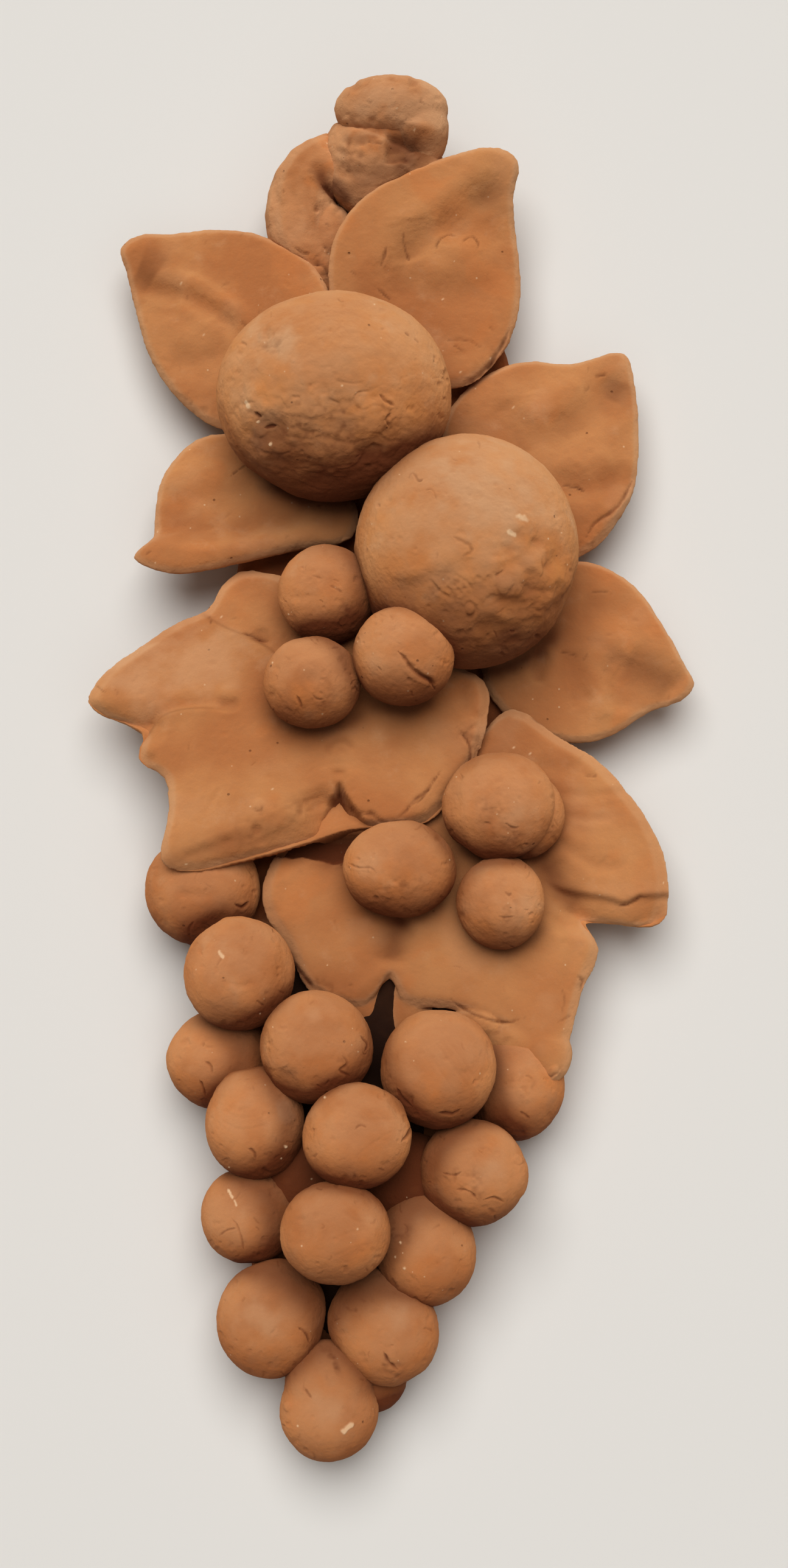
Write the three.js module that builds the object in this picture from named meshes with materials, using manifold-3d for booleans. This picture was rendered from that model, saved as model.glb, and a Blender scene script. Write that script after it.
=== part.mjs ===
// Hand-modelled clay wall swag: a twisted stem, plain leaves, two vine leaves,
// two fruits, two trios of berries and a tapering bunch of grapes on one back slab.
// Millimetres. +Z points off the flat back, +Y points up when the swag hangs.

import * as THREE from 'three';
import { mergeVertices } from 'three/addons/utils/BufferGeometryUtils.js';
import Module from 'manifold-3d';

const wasm = await Module();
wasm.setup();

// Driving dimensions
const SLAB_THICKNESS = 10;
const SLAB_EDGE = 1.5;
const NAIL_HOLE_RADIUS = 5.5;
const NAIL_HOLE_DEPTH = 7;
const NAIL_HOLE_Y = 104;
const LEAF_THICKNESS = 7;
const VINE_LEAF_THICKNESS = 8;
const MOUND_MIDDLE_Y = -42;
const MOUND_HALF_LENGTH = 96;
const MOUND_HALF_WIDTH = 25;
const MOUND_MIDDLE_Z = 6;
const MOUND_HALF_HEIGHT = 16;
const MOUND_TIP_SHARE = 0.72;
const MOUND_TIP_X = -14;
const MOUND_TOP_X = 2;
const GAP = 0.3;

// How finely the faceted surfaces are divided
const BALL_DETAIL = 2;
const FRUIT_DETAIL = 3;
const LEAF_ROWS = 8;
const STEPS_PER_POINT = 3;

// A leaf is a cushion: these powers set how far its flat face reaches and how blunt its rim is.
const LEAF_REACH_POWER = 0.9;
const LEAF_RIM_POWER = 0.4;

// Clay colours
const CLAY_LEAF = 0xc08653;
const CLAY_FRUIT = 0xb97f52;
const CLAY_BERRY = 0xb57a4c;
const CLAY_STEM = 0xb4794c;
const CLAY_BACK = 0x9a6038;

// A closed geometry becomes a solid once its shared corners are merged
// and the triangles that collapse to a line at a pole are dropped.
function solidOf(geometry) {
  const open = geometry.clone();
  open.deleteAttribute('normal');
  open.deleteAttribute('uv');
  const merged = mergeVertices(open, 1e-4);
  const triangles = [];
  for (let i = 0; i < merged.index.count; i += 3) {
    const a = merged.index.getX(i);
    const b = merged.index.getX(i + 1);
    const c = merged.index.getX(i + 2);
    if (a !== b && b !== c && c !== a) triangles.push(a, b, c);
  }
  return new wasm.Manifold(new wasm.Mesh({
    numProp: 3,
    vertProperties: new Float32Array(merged.attributes.position.array),
    triVerts: new Uint32Array(triangles),
  }));
}

function geometryOf(solid) {
  const mesh = solid.getMesh();
  const geometry = new THREE.BufferGeometry();
  geometry.setAttribute('position', new THREE.BufferAttribute(mesh.vertProperties, 3));
  geometry.setIndex(new THREE.BufferAttribute(mesh.triVerts, 1));
  geometry.computeVertexNormals();
  return geometry;
}

// Moves every corner of a geometry by a rule that rewrites the vector it is given.
function reshape(geometry, rule) {
  const position = geometry.attributes.position;
  const corner = new THREE.Vector3();
  for (let i = 0; i < position.count; i++) {
    corner.fromBufferAttribute(position, i);
    rule(corner);
    position.setXYZ(i, corner.x, corner.y, corner.z);
  }
  return geometry;
}

// A hand-rolled ball: at is its centre, size its three half widths.
function ball({ at, size, detail = BALL_DETAIL }, grow) {
  const geometry = new THREE.IcosahedronGeometry(1, detail);
  geometry.scale(size[0] + grow, size[1] + grow, size[2] + grow);
  geometry.translate(...at);
  return solidOf(geometry);
}

// A rolled coil that thickens and thins: route holds x, y, z and radius at each point.
function coil({ route, sides = 12, steps = 12 }, grow) {
  const path = new THREE.CatmullRomCurve3(route.map(([x, y, z]) => new THREE.Vector3(x, y, z)));
  const radii = new THREE.CatmullRomCurve3(route.map(([, , , r], i) => new THREE.Vector3(i, r, 0)));
  const straight = new THREE.CapsuleGeometry(1, steps, 3, sides, steps);
  const fullLength = steps + 2;
  return solidOf(reshape(straight, (corner) => {
    const along = THREE.MathUtils.clamp((corner.y + fullLength / 2) / fullLength, 0, 1);
    const centre = path.getPoint(along);
    const forward = path.getTangent(along);
    const side = new THREE.Vector3().crossVectors(forward, new THREE.Vector3(0, 0, 1)).normalize();
    const up = new THREE.Vector3().crossVectors(side, forward);
    const radius = radii.getPoint(along).y + grow;
    const x = corner.x * radius;
    const z = corner.z * radius;
    corner.copy(centre).addScaledVector(side, x).addScaledVector(up, z);
  }));
}

// A pressed leaf: a cushion stretched from its centre to a closed outline, laid on
// the surface height(x, y), flat in the middle and rounded at the rim.
function leaf({ centre, outline, height, thickness = LEAF_THICKNESS }, grow) {
  const corners = outline.map(([x, y]) => new THREE.Vector3(x, y, 0));
  if (THREE.ShapeUtils.isClockWise(corners)) corners.reverse();
  const rim = new THREE.CatmullRomCurve3(corners, true, 'centripetal');
  const columns = outline.length * STEPS_PER_POINT;
  const cushion = new THREE.SphereGeometry(1, columns, LEAF_ROWS);
  return solidOf(reshape(cushion, (corner) => {
    const turn = Math.round(Math.atan2(corner.z, -corner.x) / (2 * Math.PI) * columns);
    const edge = rim.getPoint(((turn + columns) % columns) / columns);
    const spoke = edge.sub(new THREE.Vector3(centre[0], centre[1], 0));
    const reach = Math.pow(Math.hypot(corner.x, corner.z), LEAF_REACH_POWER);
    const rise = Math.sign(corner.y) * Math.pow(Math.abs(corner.y), LEAF_RIM_POWER);
    const stretch = reach * (1 + grow / spoke.length());
    const x = centre[0] + spoke.x * stretch;
    const y = centre[1] + spoke.y * stretch;
    corner.set(x, y, height(x, y) + rise * (thickness / 2 + grow));
  }));
}

// The tongue-shaped slab that the whole swag is built on, flat at z = 0.
function backSlab(grow) {
  const outline = [
    [-12, 141], [8, 142], [22, 131], [29.5, 112], [36, 85], [38, 55], [35, 20], [36, -15],
    [33, -50], [25, -82], [14, -110], [3, -134], [-9, -148], [-20, -148], [-31, -130],
    [-36, -105], [-37, -75], [-36, -45], [-38, -15], [-42, 20], [-40, 55], [-35, 90], [-29, 120],
  ];
  const shape = new THREE.Shape();
  shape.moveTo(...outline[0]);
  shape.splineThru(outline.slice(1).concat([outline[0]]).map(([x, y]) => new THREE.Vector2(x, y)));
  const geometry = new THREE.ExtrudeGeometry(shape, {
    depth: SLAB_THICKNESS - 2 * SLAB_EDGE + 2 * grow,
    bevelThickness: SLAB_EDGE,
    bevelSize: SLAB_EDGE,
    bevelOffset: grow - SLAB_EDGE,
    bevelSegments: 1,
    curveSegments: 2,
  });
  geometry.translate(0, 0, SLAB_EDGE - grow);
  const slab = solidOf(geometry);
  return grow > 0 ? slab : slab.subtract(nailHole());
}

// A blind hole in the back, pushed in with a finger while the clay was soft.
function nailHole() {
  const hole = new THREE.CylinderGeometry(NAIL_HOLE_RADIUS, NAIL_HOLE_RADIUS, 2 * NAIL_HOLE_DEPTH, 16);
  hole.rotateX(Math.PI / 2);
  hole.translate(0, NAIL_HOLE_Y, 0);
  return solidOf(hole);
}

// The long mound of clay on the slab that lifts the front grapes and carries the vine leaves.
function clusterCore(grow) {
  const mound = new THREE.SphereGeometry(1, 20, 14);
  const bottom = MOUND_MIDDLE_Y - MOUND_HALF_LENGTH;
  const top = MOUND_MIDDLE_Y + MOUND_HALF_LENGTH;
  return solidOf(reshape(mound, (corner) => {
    const y = MOUND_MIDDLE_Y + corner.y * (MOUND_HALF_LENGTH + grow);
    const narrowing = THREE.MathUtils.mapLinear(y, bottom, top, MOUND_TIP_SHARE, 1);
    const drift = THREE.MathUtils.mapLinear(y, bottom, top, MOUND_TIP_X, MOUND_TOP_X);
    const x = drift + corner.x * (MOUND_HALF_WIDTH + grow) * narrowing;
    corner.set(x, y, MOUND_MIDDLE_Z + corner.z * (MOUND_HALF_HEIGHT + grow));
  }));
}

const stemPieces = [
  { name: 'stem_cap', clay: CLAY_STEM, make: (grow) => ball({
    at: [-0.8, 172.2, 29], size: [14.2, 7.7, 10.5], detail: FRUIT_DETAIL }, grow) },
  { name: 'stem_branch', clay: CLAY_STEM, make: (grow) => coil({ route: [
    [-9.5, 149, 17, 7], [-6, 156, 18, 12], [-3.5, 163, 20, 14.5], [-1.5, 168, 22, 13.5]],
  steps: 8 }, grow) },
  { name: 'stem_hook', clay: CLAY_STEM, make: (grow) => coil({ route: [
    [-16.5, 124, 12, 4], [-21, 135, 13.5, 6.5], [-24.6, 147, 16.5, 8.2], [-22, 157, 18, 8.5],
    [-14, 162.5, 18, 8], [-6, 164, 18, 6]] }, grow) },
];

const plainLeaves = [
  { name: 'leaf_top_right', centre: [8, 132],
    height: (x, y) => 19 + Math.max(0, 0.24 * (y - 125) - 0.2 * (x - 8)),
    outline: [[31.7, 161], [26.6, 163.8], [11.8, 159.7], [-2, 153.2], [-11.8, 144.4], [-16.3, 134],
      [-15, 119], [-9, 109.3], [2, 103.3], [13, 101.3], [22, 104.8], [29, 113.8], [32, 125.7],
      [31.3, 140.2], [30.2, 152]] },
  { name: 'leaf_top_left', centre: [-42, 118], height: (x, y) => 15 + Math.max(0, x + 45) * 0.2,
    outline: [[-70.2, 140.4], [-65.6, 143.9], [-57.6, 144.2], [-44.4, 145.7], [-31.1, 141.6],
      [-21, 134.4], [-16, 124.9], [-17, 113], [-24.2, 101], [-34.3, 94], [-43.4, 92.2],
      [-53.5, 99], [-61.6, 110.1], [-65.1, 121.2], [-68.7, 135.4]] },
  { name: 'leaf_mid_right', centre: [37, 85], height: (x, y) => 15 + 0.06 * (x - 37),
    outline: [[58.6, 112], [60.8, 105], [61.7, 91.6], [60.5, 76.5], [55.5, 66.9], [47.9, 59.4],
      [38, 57.5], [27, 66], [18, 77], [12.1, 90], [14.5, 98.5], [21.5, 105.6], [32.3, 110.1],
      [46.4, 109.1]] },
  { name: 'leaf_mid_left', centre: [-36, 70],
    height: (x, y) => 18 + Math.max(0, 64 - y) * 0.45 - Math.max(0, y - 76) * 0.15,
    outline: [[-64.8, 57], [-55, 52.7], [-47, 53.5], [-35, 56.5], [-23, 59.6], [-11, 62.5], [-9, 70],
      [-16, 80], [-27, 87], [-38, 90.7], [-50, 88.8], [-57.4, 80.3], [-59.8, 69.5], [-59.9, 62]] },
  { name: 'leaf_low_right', centre: [48, 33], height: (x, y) => 14 + 0.04 * (x - 48),
    outline: [[74.8, 26], [71.5, 32.4], [67, 41.5], [60.6, 51], [51.5, 56.9], [43, 57.5], [32, 51],
      [23, 39], [22.5, 27], [30, 17], [43.4, 11.6], [54.5, 13.5], [64, 19.6], [71.6, 22]] },
];

const vineLeaves = [
  { name: 'vine_leaf_left', centre: [-22, 12], thickness: VINE_LEAF_THICKNESS,
    height: (x, y) => 25.5 - 0.19 * (y - 10) + 0.03 * (x + 20),
    outline: [[-75.3, 21.3], [-72, 27.2], [-61.7, 35.6], [-54, 41], [-46.5, 44.5], [-43, 51], [-38, 55],
      [-28, 53], [-14, 45], [2, 37], [15.5, 29], [22.6, 24], [22.5, 12.5], [17.5, 0.5], [8.5, -10.6],
      [0, -12], [-8, -12.4], [-17.7, -15], [-36.6, -20.4], [-51, -23], [-55.8, -20.5], [-54.6, -9],
      [-55.4, 0.4], [-62.4, 5.4], [-61.6, 12], [-67.5, 15.8], [-74.2, 18.6]] },
  { name: 'vine_leaf_right', centre: [12, -22], thickness: VINE_LEAF_THICKNESS,
    height: (x, y) => 22.5 - 0.0012 * (x - 20) ** 2 - Math.max(0, y + 10) * 0.1,
    outline: [[19, 10], [29, 19], [41, 11.5], [49, 7], [55.5, 0], [64.5, -13.5], [66.7, -26], [64.8, -34.3],
      [52, -34], [46.4, -34.4], [49.2, -41], [45, -52], [41, -66], [37.5, -70], [28, -60.5],
      [14, -55.5], [3, -54], [-1.2, -47.5], [-8, -55], [-20, -51.5], [-25.5, -41], [-32.2, -29],
      [-28.5, -17], [-18, -5], [0, 2]] },
];

const fruits = [
  { name: 'fruit_upper', at: [-14.6, 93.8, 36], size: [28.9, 25.8, 26] },
  { name: 'fruit_lower', at: [17.8, 54.9, 35], size: [27.2, 28.8, 25.5] },
];

const berries = [
  { name: 'berry_upper_1', at: [-16.4, 45.2, 31], size: [12, 12.2, 11.5] },
  { name: 'berry_upper_2', at: [-19.7, 21.8, 37], size: [11.6, 11.1, 11] },
  { name: 'berry_upper_3', at: [2.2, 27.3, 42], size: [12.2, 12.3, 11.5] },
  { name: 'berry_lower_1', at: [25, -7.8, 34], size: [13.5, 13, 12] },
  { name: 'berry_lower_2', at: [1.3, -22.9, 33], size: [13.6, 11.6, 11] },
  { name: 'berry_lower_3', at: [25.6, -30.7, 31], size: [10.6, 11.4, 11] },
  { name: 'berry_lower_4', at: [31.5, -9, 27], size: [11, 11.5, 10] },
];

// Grapes run from the shoulders of the bunch down to its tip.
const grapes = [
  { at: [-46.9, -25.5, 16], size: [14.1, 14, 13.5] },
  { at: [-36.9, -47.6, 29], size: [13.2, 13.7, 13] },
  { at: [-42.2, -67, 16], size: [12.6, 12, 12] },
  { at: [-18.4, -65.2, 31], size: [13.3, 13.4, 13] },
  { at: [10.4, -70.2, 31], size: [13.6, 14.2, 13.5] },
  { at: [-33, -82.9, 25], size: [11.9, 13.1, 12.5] },
  { at: [-8.4, -86.3, 37], size: [12.8, 12.4, 12.5] },
  { at: [18.6, -94.4, 24], size: [12.6, 12.6, 12.5] },
  { at: [-34.6, -104.4, 18], size: [11.7, 11.7, 11.5] },
  { at: [-13.6, -108.3, 36], size: [12.8, 12, 12] },
  { at: [7.6, -112.6, 21], size: [11.9, 13.4, 12] },
  { at: [-29.4, -128.8, 19], size: [12.9, 13.4, 12.5] },
  { at: [-1.5, -131.3, 19], size: [12.2, 13.2, 12] },
  { at: [-15.3, -149.5, 16], size: [11.6, 12.2, 11.5] },
  { at: [29.2, -72.3, 15], size: [12, 14.3, 12.5] },
  { at: [-6, -142, 11], size: [9, 8.5, 9] },
  { at: [3, -96, 15], size: [12, 12, 12] },
  { at: [-21, -94, 15], size: [12, 12, 12] },
].map((grape, i) => ({ ...grape, name: `grape_${String(i + 1).padStart(2, '0')}` }));

const leafPiece = (spec) => ({ name: spec.name, clay: CLAY_LEAF, make: (grow) => leaf(spec, grow) });
const ballPiece = (spec, clay, detail) => (
  { name: spec.name, clay, make: (grow) => ball({ ...spec, detail }, grow) });

// Front grapes are pressed on last, so they keep their shape and the ones behind give way.
const frontToBack = [...grapes].sort((a, b) => b.at[2] - a.at[2]);

const pieces = [
  { name: 'back_slab', clay: CLAY_BACK, make: backSlab },
  ...vineLeaves.map(leafPiece),
  ...plainLeaves.map(leafPiece),
  ...stemPieces,
  ...fruits.map((fruit) => ballPiece(fruit, CLAY_FRUIT, FRUIT_DETAIL)),
  ...berries.map((berry) => ballPiece(berry, CLAY_BERRY, BALL_DETAIL)),
  ...frontToBack.map((grape) => ballPiece(grape, CLAY_BERRY, BALL_DETAIL)),
  { name: 'cluster_core', clay: CLAY_BACK, make: clusterCore },
];

// Each piece is pressed against the ones before it, so it gives way where they meet.
function pressedTogether(all) {
  const placed = [];
  const finished = all.map((piece) => {
    let body = piece.make(0);
    for (const neighbour of placed) body = body.subtract(neighbour);
    placed.push(piece.make(GAP));
    const lumps = body.decompose().sort((a, b) => b.volume() - a.volume());
    return { ...piece, solid: lumps[0] };
  });
  return finished;
}

const swag = new THREE.Group();
for (const { name, clay, solid } of pressedTogether(pieces)) {
  const material = new THREE.MeshStandardMaterial({ color: clay, roughness: 0.9, metalness: 0 });
  const mesh = new THREE.Mesh(geometryOf(solid), material);
  mesh.name = name;
  swag.add(mesh);
}

export default swag;
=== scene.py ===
import math

import bmesh
import bpy
import numpy as np
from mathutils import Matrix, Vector


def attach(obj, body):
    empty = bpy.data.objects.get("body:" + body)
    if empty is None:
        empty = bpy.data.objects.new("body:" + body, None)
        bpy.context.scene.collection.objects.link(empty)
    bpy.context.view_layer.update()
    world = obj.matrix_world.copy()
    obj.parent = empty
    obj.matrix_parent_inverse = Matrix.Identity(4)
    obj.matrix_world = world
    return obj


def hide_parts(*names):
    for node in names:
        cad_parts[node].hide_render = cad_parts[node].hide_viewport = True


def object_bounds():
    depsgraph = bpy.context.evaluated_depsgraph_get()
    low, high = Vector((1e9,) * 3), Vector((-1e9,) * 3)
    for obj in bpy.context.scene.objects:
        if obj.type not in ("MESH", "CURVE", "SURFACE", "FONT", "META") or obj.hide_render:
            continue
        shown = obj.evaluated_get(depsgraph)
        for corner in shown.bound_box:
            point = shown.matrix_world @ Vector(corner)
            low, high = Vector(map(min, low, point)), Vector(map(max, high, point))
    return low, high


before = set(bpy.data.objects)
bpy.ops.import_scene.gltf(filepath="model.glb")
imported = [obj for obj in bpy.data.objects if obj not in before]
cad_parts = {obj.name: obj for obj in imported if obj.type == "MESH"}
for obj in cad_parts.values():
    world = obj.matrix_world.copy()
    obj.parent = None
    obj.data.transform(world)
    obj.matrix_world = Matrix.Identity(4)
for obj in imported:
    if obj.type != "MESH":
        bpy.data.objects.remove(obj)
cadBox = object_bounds()
mm = 0.001
print("swag: frame loaded with", len(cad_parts), "clay pieces")


def tone(red, green, blue):
    # a colour as mixed on screen, 0 to 255, turned into light values
    shares = [c / 255 for c in (red, green, blue)]
    return tuple(s / 12.92 if s <= 0.04045 else ((s + 0.055) / 1.055) ** 2.4 for s in shares)


# The table, the light and the viewer

studio = {
    "lookAt": (0, 0, 0.020),
    "distance": 0.620,          # m
    "height": 80.0,             # degrees above the table
    "lens": 38.66,              # mm, on a sensor that is "sensor" mm tall
    "sensor": 24,
    "windows": {                # where each soft light comes from, its power and its spread in degrees
        "high": ((-0.05, 0.33, 0.94), 2.60, 50.0),
        "low": ((0.12, -0.32, 0.94), 0.50, 70.0),
    },
    "windowTone": (1.0, 1.0, 0.985),
    "room": (1.0, 0.80, 0.64),
    "roomStrength": 0.08,
    "depth": 0.84,              # below 1 deepens the shadows
    "table": tone(225, 223, 220),
    "tableSize": 6,             # m
    "tableRoughness": 0.6,
}


def setStudio():
    scene = bpy.context.scene
    camera = bpy.data.cameras.new("viewer")
    camera.sensor_fit = "VERTICAL"
    camera.sensor_height = studio["sensor"]
    camera.lens = studio["lens"]
    camera.clip_start = 0.01
    holder = bpy.data.objects.new("viewer", camera)
    lean = math.radians(90 - studio["height"])
    reach = studio["distance"]
    away = Vector((0, -reach * math.sin(lean), reach * math.cos(lean)))
    holder.location = Vector(studio["lookAt"]) + away
    holder.rotation_euler = (lean, 0, 0)
    scene.collection.objects.link(holder)
    scene.camera = holder

    for side, (place, power, spread) in studio["windows"].items():
        window = bpy.data.lights.new("window_" + side, "SUN")
        window.energy = power
        window.color = studio["windowTone"]
        window.angle = math.radians(spread)
        hung = bpy.data.objects.new("window_" + side, window)
        hung.rotation_euler = Vector(place).to_track_quat("Z", "Y").to_euler()
        scene.collection.objects.link(hung)

    room = bpy.data.worlds.new("room")
    room.use_nodes = True
    backdrop = room.node_tree.nodes["Background"]
    backdrop.inputs["Color"].default_value = (*studio["room"], 1)
    backdrop.inputs["Strength"].default_value = studio["roomStrength"]
    scene.world = room
    scene.view_settings.view_transform = "Standard"
    scene.view_settings.gamma = studio["depth"]

    bpy.ops.mesh.primitive_plane_add(size=studio["tableSize"], location=(0, 0, cadBox[0][2]))
    table = bpy.context.object
    table.name = "table"
    paint = bpy.data.materials.new("table_paint")
    paint.use_nodes = True
    skin = paint.node_tree.nodes["Principled BSDF"]
    skin.inputs["Base Color"].default_value = (*studio["table"], 1)
    skin.inputs["Roughness"].default_value = studio["tableRoughness"]
    table.data.materials.append(paint)
    return holder


viewer = setStudio()
print("swag: table, lights and viewer are set")


# Clay finishes: one recipe, with a look for each part of the swag

def addNode(tree, kind, settings=None, **inputs):
    made = tree.nodes.new(kind)
    for key, value in (settings or {}).items():
        setattr(made, key, value)
    for key, value in inputs.items():
        made.inputs[key.replace("_", " ")].default_value = value
    return made


def mixTones(tree, mask, under, over, strength=1.0, how="MIX"):
    # under and over are sockets or plain colours; mask is a socket
    mix = tree.nodes.new("ShaderNodeMix")
    mix.data_type = "RGBA"
    mix.blend_type = how
    if strength < 1.0:
        scaled = addNode(tree, "ShaderNodeMath", {"operation": "MULTIPLY"})
        tree.links.new(mask, scaled.inputs[0])
        scaled.inputs[1].default_value = strength
        mask = scaled.outputs[0]
    tree.links.new(mask, mix.inputs["Factor"])
    for name, value in (("A", under), ("B", over)):
        socket = [s for s in mix.inputs if s.name == name and s.type == "RGBA"][0]
        if isinstance(value, tuple):
            socket.default_value = (*value, 1)
        else:
            tree.links.new(value, socket)
    return [s for s in mix.outputs if s.type == "RGBA"][0]


def stretchMask(tree, socket, low, high):
    ramp = addNode(tree, "ShaderNodeMapRange", {"interpolation_type": "SMOOTHSTEP"})
    ramp.inputs["From Min"].default_value = low
    ramp.inputs["From Max"].default_value = high
    tree.links.new(socket, ramp.inputs["Value"])
    return ramp.outputs["Result"]


def clayGrain(tree, place, size, detail=3.0, roughness=0.55, warp=0.0):
    # size is the width of one blotch, in mm
    grain = addNode(tree, "ShaderNodeTexNoise", Scale=1000 / size, Detail=detail,
                    Roughness=roughness, Distortion=warp)
    tree.links.new(place, grain.inputs["Vector"])
    return grain.outputs["Fac"]


def claySpecks(tree, place, size, width):
    # small round specks, one in each cell that is size mm across, width mm wide
    cells = addNode(tree, "ShaderNodeTexVoronoi", {"feature": "F1"}, Scale=1000 / size, Randomness=1.0)
    tree.links.new(place, cells.inputs["Vector"])
    near = stretchMask(tree, cells.outputs["Distance"], width / size, 0.4 * width / size)
    chance = addNode(tree, "ShaderNodeSeparateColor")
    tree.links.new(cells.outputs["Color"], chance.inputs["Color"])
    rare = stretchMask(tree, chance.outputs["Red"], 0.62, 0.66)
    both = addNode(tree, "ShaderNodeMath", {"operation": "MULTIPLY"})
    tree.links.new(near, both.inputs[0])
    tree.links.new(rare, both.inputs[1])
    return both.outputs[0]


def firedClay(name, look):
    clay = bpy.data.materials.new(name)
    clay.use_nodes = True
    tree = clay.node_tree
    skin = tree.nodes["Principled BSDF"]
    skin.inputs["Roughness"].default_value = look["roughness"]
    skin.inputs["Specular IOR Level"].default_value = look["gloss"]
    skin.inputs["Diffuse Roughness"].default_value = look["powder"]
    place = addNode(tree, "ShaderNodeTexCoord").outputs["Object"]

    blotch = stretchMask(tree, clayGrain(tree, place, look["blotch"], 3, 0.5, 0.3), 0.36, 0.64)
    colour = mixTones(tree, blotch, look["deep"], look["base"])
    warm = stretchMask(tree, clayGrain(tree, place, look["blotch"] * 0.55, 2, 0.5, 0.6), 0.52, 0.72)
    colour = mixTones(tree, warm, colour, look["warm"], 0.55)
    dust = stretchMask(tree, clayGrain(tree, place, 9, 5, 0.62), 0.55, 0.78)
    colour = mixTones(tree, dust, colour, look["dust"], look["dusty"])
    grit = stretchMask(tree, clayGrain(tree, place, 1.1, 3, 0.7), 0.30, 0.72)
    colour = mixTones(tree, grit, colour, (0.60, 0.52, 0.46), 0.34, "SOFT_LIGHT")
    colour = mixTones(tree, claySpecks(tree, place, 4.2, 0.34), colour, look["speck"], 0.75)
    # dark specks where the bump below presses pits in: painted shade in the pits
    colour = mixTones(tree, claySpecks(tree, place, 5.6, 0.42), colour, look["pitShade"], 0.6)

    painted = addNode(tree, "ShaderNodeAttribute", {"attribute_name": "clayMarks"})
    marks = addNode(tree, "ShaderNodeSeparateColor")
    tree.links.new(painted.outputs["Color"], marks.inputs["Color"])
    # the painted marks: blue is dust, on the balls' upper sides also painted light; green is painted
    # shade; red is pale chips
    colour = mixTones(tree, marks.outputs["Blue"], colour, look["dust"], 0.8)
    colour = mixTones(tree, marks.outputs["Green"], colour, look["shadeTone"], 0.9)
    colour = mixTones(tree, marks.outputs["Red"], colour, look["chip"], 0.9)
    tree.links.new(colour, skin.inputs["Base Color"])

    bump = None
    for size, depth, detail in look["bumps"]:
        step = addNode(tree, "ShaderNodeBump", Strength=1.0, Distance=depth * mm)
        tree.links.new(clayGrain(tree, place, size, detail, 0.6), step.inputs["Height"])
        if bump is not None:
            tree.links.new(bump.outputs["Normal"], step.inputs["Normal"])
        bump = step
    pits = addNode(tree, "ShaderNodeBump", {"invert": True}, Strength=1.0, Distance=0.25 * mm)
    tree.links.new(claySpecks(tree, place, 5.6, 0.42), pits.inputs["Height"])
    tree.links.new(bump.outputs["Normal"], pits.inputs["Normal"])
    tree.links.new(pits.outputs["Normal"], skin.inputs["Normal"])
    return clay


leafLook = {
    "base": tone(210, 156, 106), "deep": tone(196, 136, 88), "warm": tone(210, 144, 90),
    # the pit tone is painted shade in the small pits
    "dust": tone(218, 174, 134), "dusty": 0.45, "speck": tone(234, 204, 168), "pitShade": tone(124, 70, 40),
    # the last tone is painted shade, laid in creases, hollows, undersides and where pieces meet
    "chip": tone(240, 212, 176), "shadeTone": tone(104, 48, 22),
    "roughness": 0.9, "gloss": 0.22, "powder": 0.7,
    "blotch": 30,               # mm across
    "bumps": [(5.0, 0.45, 3), (1.2, 0.18, 4), (0.4, 0.07, 3)],      # size and depth in mm, fineness
}
fruitLook = dict(leafLook, **{
    "base": tone(212, 156, 106), "deep": tone(202, 140, 88), "warm": tone(216, 152, 92),
    "dust": tone(214, 174, 136), "dusty": 0.5, "blotch": 24,
    "bumps": [(6.0, 0.6, 3), (1.6, 0.22, 4), (0.45, 0.07, 3)],
})
berryLook = dict(leafLook, **{
    "base": tone(208, 148, 98), "deep": tone(192, 130, 82), "warm": tone(208, 140, 84), "blotch": 18,
    "dust": tone(212, 166, 126),
    "bumps": [(3.6, 0.3, 3), (1.0, 0.16, 4), (0.38, 0.07, 3)],
})
stemLook = dict(leafLook, **{
    "base": tone(212, 158, 112), "deep": tone(192, 134, 88), "blotch": 14,
    "bumps": [(3.0, 0.4, 4), (0.9, 0.18, 4), (0.35, 0.06, 3)],
})
# a darker copy of the clay for the hidden back slab and core: painted shade, with a near-black painted
# shade tone
shadedBackLook = dict(leafLook, **{
    "base": tone(176, 112, 68), "deep": tone(146, 88, 52), "warm": tone(178, 108, 60), "blotch": 12,
    "shadeTone": tone(22, 9, 5),
    "bumps": [(4.0, 0.6, 4), (1.1, 0.2, 4), (0.4, 0.05, 3)],
})

finishes = {
    "leaf_clay": firedClay("leaf_clay", leafLook),
    "fruit_clay": firedClay("fruit_clay", fruitLook),
    "berry_clay": firedClay("berry_clay", berryLook),
    "stem_clay": firedClay("stem_clay", stemLook),
    "back_clay": firedClay("back_clay", shadedBackLook),
}
print("swag: clay finishes mixed")


# Shared modelling tools; all arrays of points are in mm

lattice = np.random.default_rng(7).uniform(-1, 1, (40, 40, 40))


def lumps(points, width, seed=0, octaves=1):
    # smooth bumps from -1 to 1, each about width mm across
    total = np.zeros(len(points))
    weight, reach = 1.0, 0.0
    for octave in range(octaves):
        spot = points / width * 2 ** octave + 7.31 * (seed + 1) + 3.7 * octave
        cell = np.floor(spot).astype(int)
        part = spot - cell
        part = part * part * (3 - 2 * part)
        value = 0
        for corner in range(8):
            step = np.array([corner & 1, corner >> 1 & 1, corner >> 2 & 1])
            i, j, k = ((cell + step) % 40).T
            share = np.where(step == 1, part, 1 - part).prod(axis=1)
            value = value + share * lattice[i, j, k]
        total += weight * value
        reach += weight
        weight *= 0.5
    return total / reach


def easeIn(values, low, high):
    # 0 below low, 1 above high, smooth between them
    share = np.clip((values - low) / (high - low), 0, 1)
    return share * share * (3 - 2 * share)


def pointsOf(mesh):
    flat = np.zeros(len(mesh.vertices) * 3)
    mesh.vertices.foreach_get("co", flat)
    return flat.reshape(-1, 3) / mm


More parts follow.
